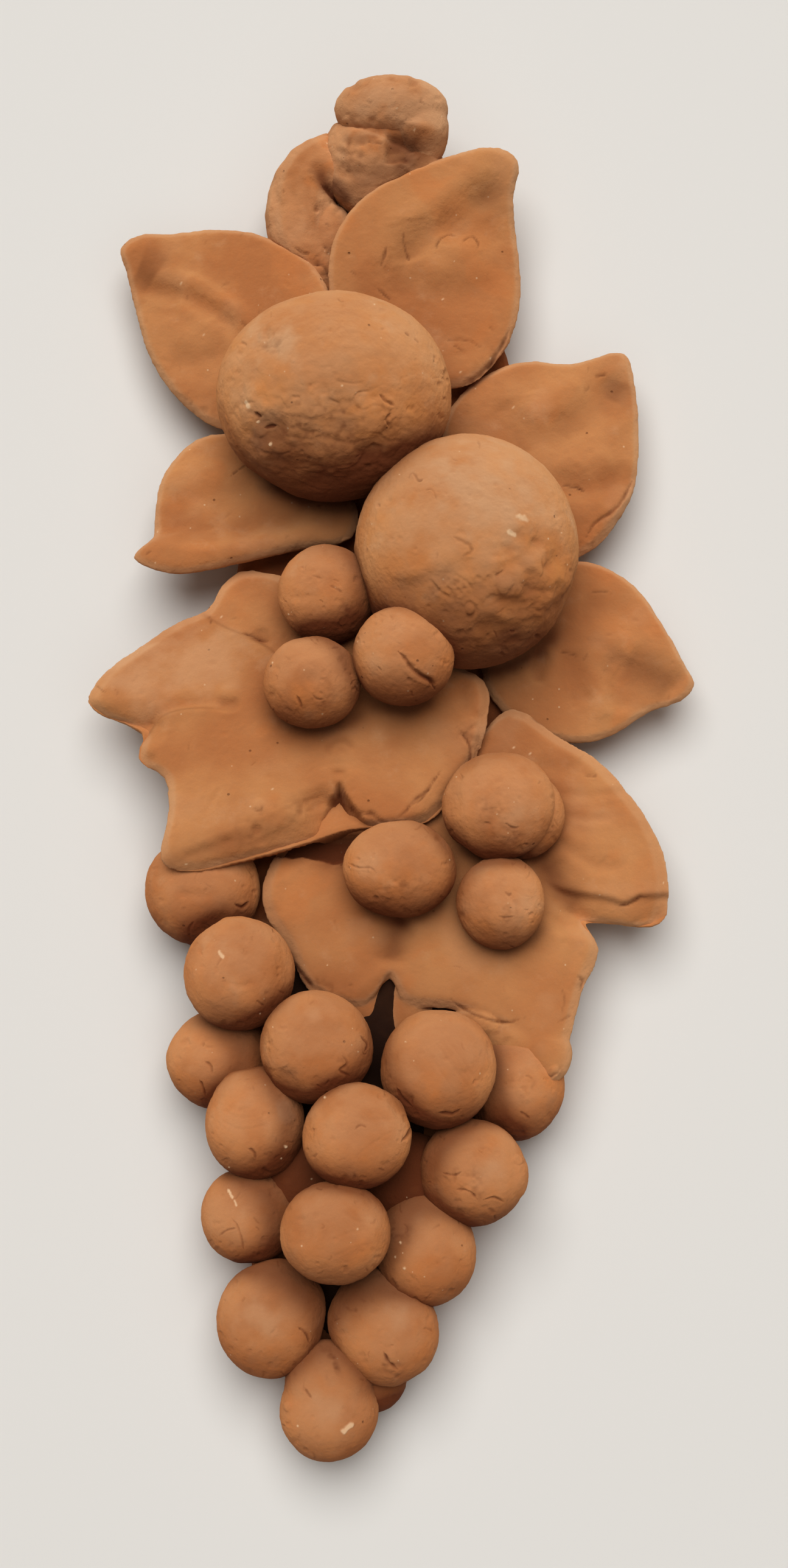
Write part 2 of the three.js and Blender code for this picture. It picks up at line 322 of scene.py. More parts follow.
def setPoints(mesh, points):
    mesh.vertices.foreach_set("co", (points * mm).ravel())
    mesh.update()


def normalsOf(mesh):
    mesh.update()
    flat = np.zeros(len(mesh.vertices) * 3)
    mesh.vertex_normals.foreach_get("vector", flat)
    return flat.reshape(-1, 3)


def finishPiece(name, mesh, slotName, paint):
    # paint: red is a pale chip, green is painted shade in creases, hollows, undersides and where pieces
    # meet, blue is dust, on the balls' upper sides also painted light
    layer = mesh.color_attributes.new("clayMarks", "FLOAT_COLOR", "POINT")
    full = np.ones((len(mesh.vertices), 4))
    full[:, :3] = np.clip(paint, 0, 1)
    layer.data.foreach_set("color", full.ravel())
    piece = bpy.data.objects.new("clay_" + name, mesh)
    bpy.context.scene.collection.objects.link(piece)
    mesh.polygons.foreach_set("use_smooth", [True] * len(mesh.polygons))
    mesh.materials.append(finishes[slotName])
    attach(piece, "root")
    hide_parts(name)
    return piece


# Clay tools. A stroke is (tool, width, depth, path), in mm as it looks from the viewer's seat.

seat = np.array(viewer.location) / mm


def seenOn(points, level):
    # where each point seems to lie on a sheet at that height, as seen from the seat
    share = (points[:, 2] - level) / (seat[2] - points[:, 2])
    return points[:, :2] + (points[:, :2] - seat[:2]) * share[:, None]


def byHand(path, waver, number):
    # rounds the corners of a path and lets it waver a little, in mm, as a hand does
    if len(path) < 2:
        return path
    rng = np.random.default_rng(500 + number)
    knots = np.array([path[0], *path, path[-1]], float)
    drawn = []
    for a, b, c, d in zip(knots[:-3], knots[1:-2], knots[2:-1], knots[3:]):
        for share in (0, 0.25, 0.5, 0.75):
            bend = (2 * b + (c - a) * share + (2 * a - 5 * b + 4 * c - d) * share ** 2
                    + (3 * b - a - 3 * c + d) * share ** 3) / 2
            drawn.append(bend + rng.uniform(-1, 1, 2) * waver)
    return drawn + [knots[-1]]


def alongPath(spots, path):
    # how far each spot is from a path, which side it is on (1 is left), and how far along (0 to 1)
    spans = [np.subtract(end, start) for start, end in zip(path[:-1], path[1:])]
    whole = sum(np.hypot(*span) for span in spans) or 1
    far = np.full(len(spots), 1e9)
    side = np.ones(len(spots))
    share = np.zeros(len(spots))
    done = 0
    for start, span in zip(path, spans):
        length = np.hypot(*span)
        gap = spots - np.array(start)
        part = np.clip(gap @ span / length ** 2, 0, 1)
        away = np.hypot(*(gap - part[:, None] * span).T)
        closer = away < far
        far = np.where(closer, away, far)
        side = np.where(closer, np.sign(span[0] * gap[:, 1] - span[1] * gap[:, 0]), side)
        share = np.where(closer, (done + part * length) / whole, share)
        done += length
    if len(path) == 1:
        far = np.hypot(*(spots - np.array(path[0])).T)
        share[:] = 0.5
    return far, side, share


def insideArea(spots, corners):
    # how far inside a closed outline each spot is; below 0 outside it
    far = alongPath(spots, list(corners) + [corners[0]])[0]
    inside = np.zeros(len(spots), bool)
    for (ax, ay), (bx, by) in zip(corners, list(corners[1:]) + [corners[0]]):
        between = (ay > spots[:, 1]) != (by > spots[:, 1])
        if ay != by:
            crossing = ax + (spots[:, 1] - ay) / (by - ay) * (bx - ax)
            inside ^= between & (spots[:, 0] < crossing)
    return np.where(inside, far, -far)


def workClay(points, spots, strokes):
    # returns how far each point is raised, in mm, and its paint, whose green is painted shade in hollows,
    # grooves, cracks, dents, torn pits, creases and folds, and the shade strokes' painted shadow
    lift = np.zeros(len(points))
    paint = np.zeros((len(points), 3))
    for number, (tool, width, depth, path) in enumerate(strokes):
        reach = 7 * width + 2
        low, high = np.min(path, axis=0) - reach, np.max(path, axis=0) + reach
        near = np.flatnonzero(((spots > low) & (spots < high)).all(axis=1))
        if not len(near):
            continue
        ripple = lumps(points[near], max(1.6, 1.2 * width), number, 2)
        if tool == "hollow":
            deep = insideArea(spots[near], path) + 0.4 * width * ripple
            lift[near] -= depth * easeIn(deep, 0, width)
            # painted shade in the hollow
            paint[near, 1] += 0.12 * depth * easeIn(deep, 0, width)
            continue
        waver = 0 if tool in ("bevel", "step") else min(0.14, 0.14 * width)
        far, side, share = alongPath(spots[near], byHand(path, waver, number))
        fade = easeIn(share, 0, 0.2) * easeIn(1 - share, 0, 0.2)
        gap = np.abs(far + 0.22 * width * ripple) / width
        core = np.exp(-gap ** 2)
        if tool == "groove":
            lift[near] -= depth * fade * (core - 0.25 * np.exp(-(gap - 2) ** 2 / 0.6))
            # painted shade along the groove
            paint[near, 1] += 0.08 * fade * core * min(depth, 1.5)
        elif tool == "ridge":
            lift[near] += depth * fade * core
        elif tool == "crack":
            thin = far / (0.75 * width * (0.25 + 0.75 * fade * (1 + 0.5 * ripple)))
            slit = np.clip(1 - thin, 0, 1) * (0.4 + 0.6 * fade)
            lift[near] -= 0.8 * depth * (slit ** 0.8 - 0.2 * np.exp(-(thin - 2) ** 2 / 0.6) * fade)
            # painted shade in the crack
            paint[near, 1] += min(0.75, 1.2 * depth) * slit ** 0.7 * (0.7 + 0.5 * ripple)
        elif tool == "dent":
            bowl = np.clip(1 - gap ** 2, 0, 1) ** 2
            lift[near] -= depth * bowl
            # painted shade in the dent
            paint[near, 1] += 0.12 * bowl * min(depth, 1.5)
        elif tool == "bead":
            lift[near] += depth * np.sqrt(np.clip(1 - gap ** 2, 0, 1))
        elif tool == "chip":
            ragged = far / width + 0.5 * lumps(points[near], 1.3 * width, number + 3, 2)
            lift[near] += depth * easeIn(1 - ragged, 0, 0.5)
            paint[near, 0] += 0.8 * easeIn(1 - ragged, 0, 0.6)
        elif tool == "dust":
            soft = far / width + 0.7 * lumps(points[near], 4.0, number + 3, 3)
            paint[near, 2] += 0.8 * depth * easeIn(1 - soft, 0, 1)
        elif tool == "shade":
            paint[near, 1] += depth * core * fade
        elif tool == "torn":
            rough = lumps(points[near], 1.5, number + 20, 2)
            lift[near] += depth * rough * core * fade
            # painted shade in the torn pits
            paint[near, 1] += 0.5 * np.clip(-rough, 0, 1) * core * fade
        elif tool == "lumpy":
            flat = points[near] * (0.8, 1.25, 1)
            swell = lumps(flat, 7.0, number + 20, 3)
            crease = easeIn(-np.abs(lumps(flat, 5.5, number + 30, 2)), -0.16, 0)
            crease *= easeIn(lumps(flat, 7.0, number + 60, 1), -0.1, 0.4)
            lift[near] += depth * (1.3 * swell - 0.25 * crease) * core
            # painted shade in the hollows and creases between the lumps
            paint[near, 1] += depth * (0.12 * easeIn(-swell, 0, 0.5) + 0.06 * crease) * core
        elif tool == "step":
            drop = np.tanh(far / 0.6) * np.exp(-far / width) * side
            lift[near] += 0.5 * depth * drop * fade
            # painted shade along the fold line
            paint[near, 1] += 0.3 * np.exp(-(far / 0.7) ** 2) * fade
        elif tool == "bevel":
            slope = np.clip(far / width + 0.12 * ripple, 0, 1) ** 1.4 * (side < 0)
            lift[near] -= depth * slope * easeIn(far, 2.4 * width, 1.5 * width) * fade
    return lift, paint


nickSizes = {                   # width and depth in mm, and how often each kind turns up
    "crack": (0.34, 0.20, 0.24),
    "dent": (0.80, 0.26, 0.40),
    "groove": (0.55, 0.26, 0.30),
    "chip": (0.20, 0.04, 0.06),
}


def nicks(spots, count, seed):
    # small pits, scratches and grains left by handling, scattered over the piece
    rng = np.random.default_rng(900 + seed)
    strokes = []
    for start in spots[rng.integers(len(spots), size=count)]:
        kind = rng.choice(list(nickSizes), p=[often for *_, often in nickSizes.values()])
        width, depth, _ = nickSizes[kind]
        turn = rng.uniform(0, math.tau)
        end = start + rng.uniform(0.8, 2.6) * np.array([math.cos(turn), math.sin(turn)])
        bend = (start + end) / 2 + rng.normal(0, 0.2, 2)
        path = [start, bend, end] if kind in ("crack", "groove") else [start]
        strokes.append((kind, width * rng.uniform(0.6, 1.4), depth * rng.uniform(0.5, 1.3), path))
    return strokes


# Hand-rolled balls: fruits, berries and grapes

tuckedBalls = {                 # mostly hidden behind their neighbours: centre and half widths
    "berry_lower_4": ((30.2, -9.0, 29.0), (11.0, 11.0, 10.5)),
    "grape_16": ((-6.0, -142.0, 11.0), (9.0, 9.0, 9.0)),
}


def ballFit(node):
    # the round shape that the frame's solid was pressed from: centre and half widths
    if node in tuckedBalls:
        return [np.array(part) for part in tuckedBalls[node]]
    points = pointsOf(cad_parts[node].data)
    kept = points
    for attempt in range(5):
        table = np.column_stack([kept ** 2, kept])
        answer = np.linalg.lstsq(table, np.ones(len(kept)), rcond=None)[0]
        square, straight = answer[:3], answer[3:]
        centre = -straight / (2 * square)
        half = np.sqrt((1 + (square * centre ** 2).sum()) / square)
        miss = np.abs(np.linalg.norm((points - centre) / half, axis=1) - 1)
        kept = points[miss < 0.05 / (attempt + 1)]
    return centre, half


rounds = {node: ballFit(node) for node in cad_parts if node.startswith(("berry", "grape", "fruit"))}


def tuckedIn(points, facing, name=""):
    # 0 in the open, 1 where the balls around it close it in; the balls and leaves paint shade with it
    closed = np.zeros(len(points))
    low, high = points.min(axis=0), points.max(axis=0)
    for other, (centre, half) in rounds.items():
        size = half.mean()
        if other == name or np.any(centre + 3.2 * size < low) or np.any(centre - 3.2 * size > high):
            continue
        gap = centre - points
        away = np.linalg.norm(gap, axis=1)
        towards = (gap * facing).sum(axis=1) / away
        closed += np.clip(towards + 0.15, 0, 1) * np.clip(size / away, 0, 1) ** 2
    return easeIn(closed, 0.12, 0.9)


roundSkins = {}


def roundSkin(fineness):
    if fineness not in roundSkins:
        shape = bmesh.new()
        bmesh.ops.create_icosphere(shape, subdivisions=fineness, radius=1)
        mesh = bpy.data.meshes.new("round")
        shape.to_mesh(mesh)
        shape.free()
        roundSkins[fineness] = mesh
    return roundSkins[fineness].copy()


ballRoll = {
    "waver": 0.035,         # how uneven the hand left it, as a share of its size
    "flats": 6,             # finger flats
    "press": 0.045,         # how deep they are, as a share of its size
    "pimple": 0.17,         # mm, small bumps
    "grain": 0.09,          # mm
    "nicks": 2,             # for each mm of its half width
    # how much paler its upper, lit side is: dust and painted light
    "dust": 0.5,
    "under": 0.7,           # painted shade: how much deeper the colour is on the underside
    "shade": 0.65,          # painted shade: how much deeper it is where the balls meet
    "dark": 0.0,            # the same, all over
    "marks": [],            # strokes, as shares of its radius across and up
    "pulls": [],            # (towards, how far, how narrow) drawn-out ends
}


def rollBall(name, slotName, seed, roll, fineness=7):
    roll = dict(ballRoll, **roll)
    centre, half = ballFit(name)
    mesh = roundSkin(fineness)
    mesh.name = "clay_" + name
    ways = pointsOf(mesh) * mm
    ways /= np.linalg.norm(ways, axis=1)[:, None]
    rng = np.random.default_rng(100 + seed)
    size = half.mean()
    reach = 1 + roll["waver"] * lumps(ways * 10, 9, seed, 2)
    for flat in range(roll["flats"]):
        way = rng.normal(size=3)
        way /= np.linalg.norm(way)
        limit = (1 - roll["press"] * rng.uniform(0.4, 1.2)) / np.maximum(ways @ way, 0.2)
        over = reach - limit
        blend = 0.02
        eased = np.where(over < blend, (over + blend) ** 2 / (4 * blend), over)
        reach = reach - np.where(over > -blend, eased, 0)
    for towards, far, narrow in roll["pulls"]:
        way = np.array(towards) / np.linalg.norm(towards)
        reach = reach + far * easeIn(ways @ way, narrow, 1)
    points = centre + ways * half * reach[:, None]

    forward = seat - centre
    forward /= np.linalg.norm(forward)
    across = np.cross((0, 1, 0), forward)
    across /= np.linalg.norm(across)
    spots = np.column_stack([(points - centre) @ across, (points - centre) @ np.cross(forward, across)])
    strokes = [(tool, width, depth, [(x * half[0], y * half[1]) for x, y in path])
               for tool, width, depth, path in roll["marks"]]
    strokes += nicks(spots[ways @ forward > 0.3], int(size * roll["nicks"]), seed)
    lift, paint = workClay(points, spots, strokes)
    front = easeIn(ways @ forward, 0.0, 0.25)
    lift *= front
    paint *= front[:, None]
    lift += roll["pimple"] * lumps(points, 3.0, seed + 5, 3)
    lift += roll["grain"] * lumps(points, 0.9, seed + 9, 2)
    patchy = lumps(points, 5, seed + 2, 3)
    # paler towards the top and upper side, where the light falls: dust and painted light
    dusty = easeIn(0.75 * ways[:, 2] + 0.45 * ways[:, 1] + 0.6 * patchy, 0.1, 1.1)
    # painted shade: deeper colour on the underside, away from the light
    under = easeIn(-ways[:, 1] - 0.25 * ways[:, 2] + 0.2 * patchy, 0.0, 0.9)
    paint[:, 2] += roll["dust"] * dusty
    paint[:, 1] += roll["under"] * under
    # painted shade where the neighbouring balls close it in, and the dark shade tone laid all over
    paint[:, 1] += roll["shade"] * tuckedIn(points, ways, name) + roll["dark"]
    setPoints(mesh, points + ways * lift[:, None])
    return finishPiece(name, mesh, slotName, paint)


lowGrape = {"dark": 0.10, "under": 0.4, "waver": 0.045, "grain": 0.09}      # the last three of the bunch
# the hidden grapes carry painted shade all over and no dust
hiddenGrape = {"dark": 0.75, "dust": 0.0}
berryRolls = {
    "berry_upper_1": {"marks": [
        ("crack", 0.5, 0.35, [(0.05, 0.16), (0.2, 0.1), (0.32, 0.02)]),
        ("crack", 0.4, 0.3, [(0.12, 0.28), (0.26, 0.24)]),
        ("groove", 0.9, 0.3, [(-0.72, -0.02), (-0.5, -0.1), (-0.35, 0.02)]),
        ("torn", 3.5, 0.22, [(0.2, -0.35), (0.55, -0.5)]),
    ]},
    "berry_upper_2": {"marks": [
        ("crack", 0.5, 0.5, [(-0.32, -0.28), (-0.24, -0.42), (-0.2, -0.58)]),
        ("crack", 0.35, 0.3, [(0.0, -0.25), (0.1, -0.36), (0.24, -0.36)]),
        ("torn", 4.0, 0.2, [(0.1, -0.1), (0.5, -0.4)]),
        ("dent", 2.6, 0.5, [(-0.05, 0.1)]),
    ]},
    "berry_upper_3": {"marks": [
        ("crack", 0.9, 1.4, [(-0.1, 0.08), (0.04, -0.06), (0.16, -0.24), (0.36, -0.38),
                             (0.56, -0.52), (0.62, -0.66)]),
        ("ridge", 1.4, 0.4, [(0.1, -0.34), (0.32, -0.5), (0.5, -0.62)]),
        ("dent", 1.0, 0.6, [(0.12, -0.46)]),
        ("groove", 0.8, 0.25, [(-0.28, 0.42), (-0.14, 0.55), (0.0, 0.58)]),
        ("crack", 0.35, 0.3, [(-0.5, -0.2), (-0.42, -0.3)]),
        ("dust", 5.0, 0.6, [(-0.5, -0.1)]),
    ]},
    "berry_lower_1": {"waver": 0.045, "marks": [
        ("torn", 3.0, 0.35, [(-0.4, -0.2), (-0.1, -0.12), (0.3, -0.3)]),
        ("torn", 2.5, 0.3, [(-0.2, -0.5), (0.2, -0.55), (0.5, -0.5)]),
        ("groove", 1.2, 0.5, [(-0.15, 0.02), (-0.1, -0.2), (-0.25, -0.42)]),
        ("crack", 0.4, 0.4, [(0.1, -0.3), (0.24, -0.4), (0.36, -0.38)]),
        ("dust", 6.0, 0.7, [(0.3, -0.35)]),
    ]},
    "berry_lower_2": {"marks": [
        ("crack", 0.4, 0.35, [(-0.9, 0.12), (-0.7, 0.02), (-0.5, 0.02), (-0.4, -0.08)]),
        ("torn", 3.0, 0.3, [(-0.5, -0.4), (-0.1, -0.36), (0.4, -0.32), (0.68, -0.42)]),
        ("lumpy", 4.0, 0.3, [(-0.4, -0.5), (0.0, -0.6), (0.4, -0.5)]),
        ("dent", 0.9, 0.5, [(-0.42, -0.6)]),
        ("dent", 0.7, 0.4, [(-0.72, 0.2)]),
        ("dust", 5.0, 0.6, [(-0.5, 0.1)]),
    ]},
    "berry_lower_3": {"marks": [
        ("crack", 0.5, 0.4, [(0.08, 0.22), (0.18, 0.16), (0.24, 0.2)]),
        ("crack", 0.35, 0.3, [(-0.1, -0.28), (0.1, -0.32), (0.3, -0.28)]),
        ("torn", 4.0, 0.22, [(0.0, -0.3), (0.4, -0.3)]),
        ("dust", 4.5, 0.7, [(0.6, 0.1), (0.5, -0.3)]),
    ]},
    "berry_lower_4": {"flats": 0, "waver": 0.01},
    "grape_01": {"marks": [
        ("crack", 0.6, 0.7, [(0.55, -0.25), (0.68, -0.3), (0.8, -0.2)]),
        ("crack", 0.45, 0.5, [(-0.15, -0.55), (-0.22, -0.7), (-0.2, -0.85)]),
        ("groove", 1.0, 0.4, [(-0.5, -0.05), (-0.1, -0.1), (0.3, -0.05)]),
    ]},
    "grape_02": {"marks": [
        ("chip", 0.55, 0.1, [(-0.36, 0.36), (-0.3, 0.28)]),
        ("dent", 1.2, 0.35, [(0.1, 0.6)]),
        ("groove", 0.6, 0.25, [(-0.2, -0.12), (0.0, -0.22), (0.26, -0.14)]),
        ("crack", 0.35, 0.3, [(0.3, -0.45), (0.45, -0.55)]),
    ]},
    "grape_03": {"marks": [
        ("crack", 0.55, 0.6, [(-0.28, -0.05), (-0.16, -0.14), (-0.14, -0.3)]),
        ("crack", 0.45, 0.5, [(-0.38, -0.42), (-0.3, -0.6), (-0.26, -0.76)]),
        ("dent", 1.0, 0.4, [(-0.7, 0.3)]),
        ("dent", 0.8, 0.4, [(-0.62, 0.38)]),
    ]},
    "grape_04": {"waver": 0.045, "marks": [
        ("crack", 0.5, 0.45, [(0.45, -0.15), (0.55, -0.28), (0.42, -0.4), (0.6, -0.5)]),
        ("groove", 1.4, 0.45, [(-0.62, -0.34), (-0.5, -0.48), (-0.3, -0.5)]),
        ("crack", 0.4, 0.4, [(0.78, 0.2), (0.9, 0.05), (0.86, -0.08)]),
        ("ridge", 2.0, 0.3, [(-0.3, 0.6), (0.1, 0.45), (0.45, 0.5)]),
        ("dust", 2.6, 0.4, [(0.0, 0.5)]),
        ("torn", 3.0, 0.2, [(0.3, -0.3), (0.6, -0.4)]),
    ]},
    "grape_05": {"marks": [
        ("crack", 0.5, 0.5, [(0.0, -0.72), (0.24, -0.74), (0.4, -0.66)]),
        ("crack", 0.5, 0.5, [(-0.72, -0.3), (-0.6, -0.5), (-0.44, -0.62)]),
        ("groove", 0.35, 0.10, [(-0.1, 0.5), (0.2, 0.1), (0.55, -0.35)]),
        ("groove", 0.35, 0.10, [(0.1, 0.55), (0.4, 0.15), (0.68, -0.25)]),
        ("groove", 0.35, 0.10, [(-0.3, 0.45), (0.0, 0.0), (0.3, -0.4)]),
        ("groove", 0.35, 0.08, [(0.3, 0.6), (0.6, 0.2), (0.78, -0.1)]),
    ]},
    "grape_06": {"pulls": [((-0.1, 1, 0.1), 0.05, 0.5)], "marks": [
        ("dust", 3.6, 1.0, [(0.62, 0.24)]),
        ("crack", 0.5, 0.5, [(-0.14, -0.44), (-0.02, -0.5), (0.02, -0.62)]),
        ("chip", 0.5, 0.2, [(0.6, -0.4)]),
        ("groove", 0.35, 0.10, [(-0.7, 0.3), (-0.3, 0.1), (0.2, 0.2)]),
        ("groove", 0.35, 0.10, [(-0.75, 0.1), (-0.3, -0.1), (0.3, 0.0)]),
    ]},
    "grape_07": {"marks": [
        ("crack", 0.45, 0.5, [(-0.06, 0.12), (0.04, 0.2), (0.16, 0.16)]),
        ("crack", 0.6, 0.7, [(0.78, -0.1), (0.9, 0.02), (0.96, 0.16)]),
        ("groove", 0.35, 0.10, [(-0.2, 0.2), (0.3, 0.3), (0.75, 0.3)]),
        ("groove", 0.35, 0.10, [(0.1, -0.3), (0.45, 0.0), (0.7, 0.1)]),
        ("groove", 0.35, 0.10, [(-0.1, -0.45), (0.3, -0.1), (0.6, -0.1)]),
        ("chip", 0.4, 0.2, [(-0.6, 0.72)]),
    ]},
    "grape_08": {"dark": 0.08, "waver": 0.05, "pulls": [((1, -0.1, 0.3), 0.06, 0.9)], "marks": [
        ("torn", 3.5, 0.5, [(-0.5, 0.0), (-0.1, -0.2), (0.3, -0.4)]),
        ("crack", 0.5, 0.6, [(-0.55, 0.0), (-0.35, -0.05), (-0.2, 0.02)]),
        ("crack", 0.45, 0.5, [(-0.3, -0.3), (-0.05, -0.35), (0.1, -0.5)]),
        ("crack", 0.4, 0.5, [(0.2, -0.5), (0.4, -0.45), (0.6, -0.55)]),
        ("bead", 1.2, 0.5, [(0.84, 0.24)]),
        ("dust", 5.0, 0.7, [(0.3, 0.0)]),
    ]},
    "grape_09": {"dark": 0.06, "under": 0.5, "marks": [
        ("chip", 0.4, 0.05, [(-0.42, 0.5), (-0.34, 0.36)]),
        ("chip", 0.35, 0.05, [(-0.3, 0.3), (-0.26, 0.2)]),
        ("crack", 0.45, 0.5, [(-0.35, -0.05), (-0.24, -0.2), (-0.16, -0.42), (-0.1, -0.7)]),
        ("crack", 0.35, 0.35, [(-0.6, -0.4), (-0.45, -0.3), (-0.24, -0.24)]),
    ]},
    "grape_10": {"dark": 0.06, "under": 0.5, "marks": [
        ("crack", 0.4, 0.3, [(-0.24, 0.16), (-0.2, 0.1), (-0.26, 0.06)]),
        ("groove", 0.35, 0.09, [(0.1, 0.4), (0.4, 0.2), (0.7, 0.2)]),
        ("groove", 0.35, 0.09, [(-0.2, -0.2), (0.3, 0.0), (0.8, 0.05)]),
        ("groove", 0.35, 0.09, [(-0.1, -0.5), (0.3, -0.3), (0.75, -0.2)]),
    ]},
    "grape_11": {"dark": 0.06, "under": 0.5, "pulls": [((-0.6, 0.8, 0.2), 0.06, 0.4)], "marks": [
        ("chip", 0.5, 0.2, [(-0.42, -0.3)]),
        ("chip", 0.35, 0.1, [(-0.5, 0.14)]),
        ("chip", 0.35, 0.1, [(-0.6, -0.1)]),
        ("dent", 1.0, 0.4, [(0.5, -0.7)]),
        ("torn", 2.5, 0.2, [(-0.5, 0.5), (-0.6, 0.0)]),
    ]},
    "grape_12": {**lowGrape, "pulls": [((0.6, 0.7, 0.2), 0.12, 0.45)], "marks": [
        ("crack", 0.5, 0.6, [(0.5, -0.12), (0.66, -0.24), (0.72, -0.4)]),
        ("ridge", 2.2, 0.5, [(-0.3, 0.75), (0.1, 0.62), (0.5, 0.66)]),
        ("groove", 1.6, 0.4, [(-0.6, 0.2), (-0.2, 0.25), (0.2, 0.1)]),
        ("dust", 6.0, 0.7, [(-0.2, 0.1)]),
    ]},
    "grape_13": {**lowGrape, "pulls": [((-0.75, 0.65, 0.1), 0.2, 0.35)], "marks": [
        ("torn", 2.2, 0.5, [(-0.1, -0.42), (0.05, -0.62), (0.3, -0.8)]),
        ("crack", 0.6, 0.7, [(-0.08, -0.36), (0.04, -0.56), (0.2, -0.66)]),
        ("torn", 3.0, 0.35, [(-0.7, 0.3), (-0.5, 0.6)]),
        ("dust", 6.0, 0.7, [(0.2, 0.2)]),
    ]},
    "grape_14": {**lowGrape, "pulls": [((0.02, 0.98, 0.25), 0.34, 0.35)], "marks": [
        ("chip", 0.9, 0.25, [(0.3, -0.42), (0.42, -0.3)]),
        ("bead", 1.2, 0.6, [(-0.84, 0.05)]),
        ("torn", 3.0, 0.35, [(-0.2, 0.7), (0.2, 0.9)]),
        ("crack", 0.45, 0.4, [(-0.5, 0.4), (-0.36, 0.2)]),
        ("dust", 6.0, 0.7, [(0.0, 0.0)]),
    ]},
    "grape_15": {"waver": 0.05, "marks": [
        ("torn", 3.0, 0.3, [(-0.2, 0.0), (0.4, -0.2)]),
        ("crack", 0.5, 0.5, [(0.1, -0.5), (0.3, -0.62)]),
    ]},
    "grape_16": hiddenGrape,
    "grape_17": hiddenGrape,
    "grape_18": hiddenGrape,
}
for seed, name in enumerate(sorted(berryRolls)):
    rollBall(name, "berry_clay", seed, berryRolls[name])
print("swag: berries and grapes rolled")

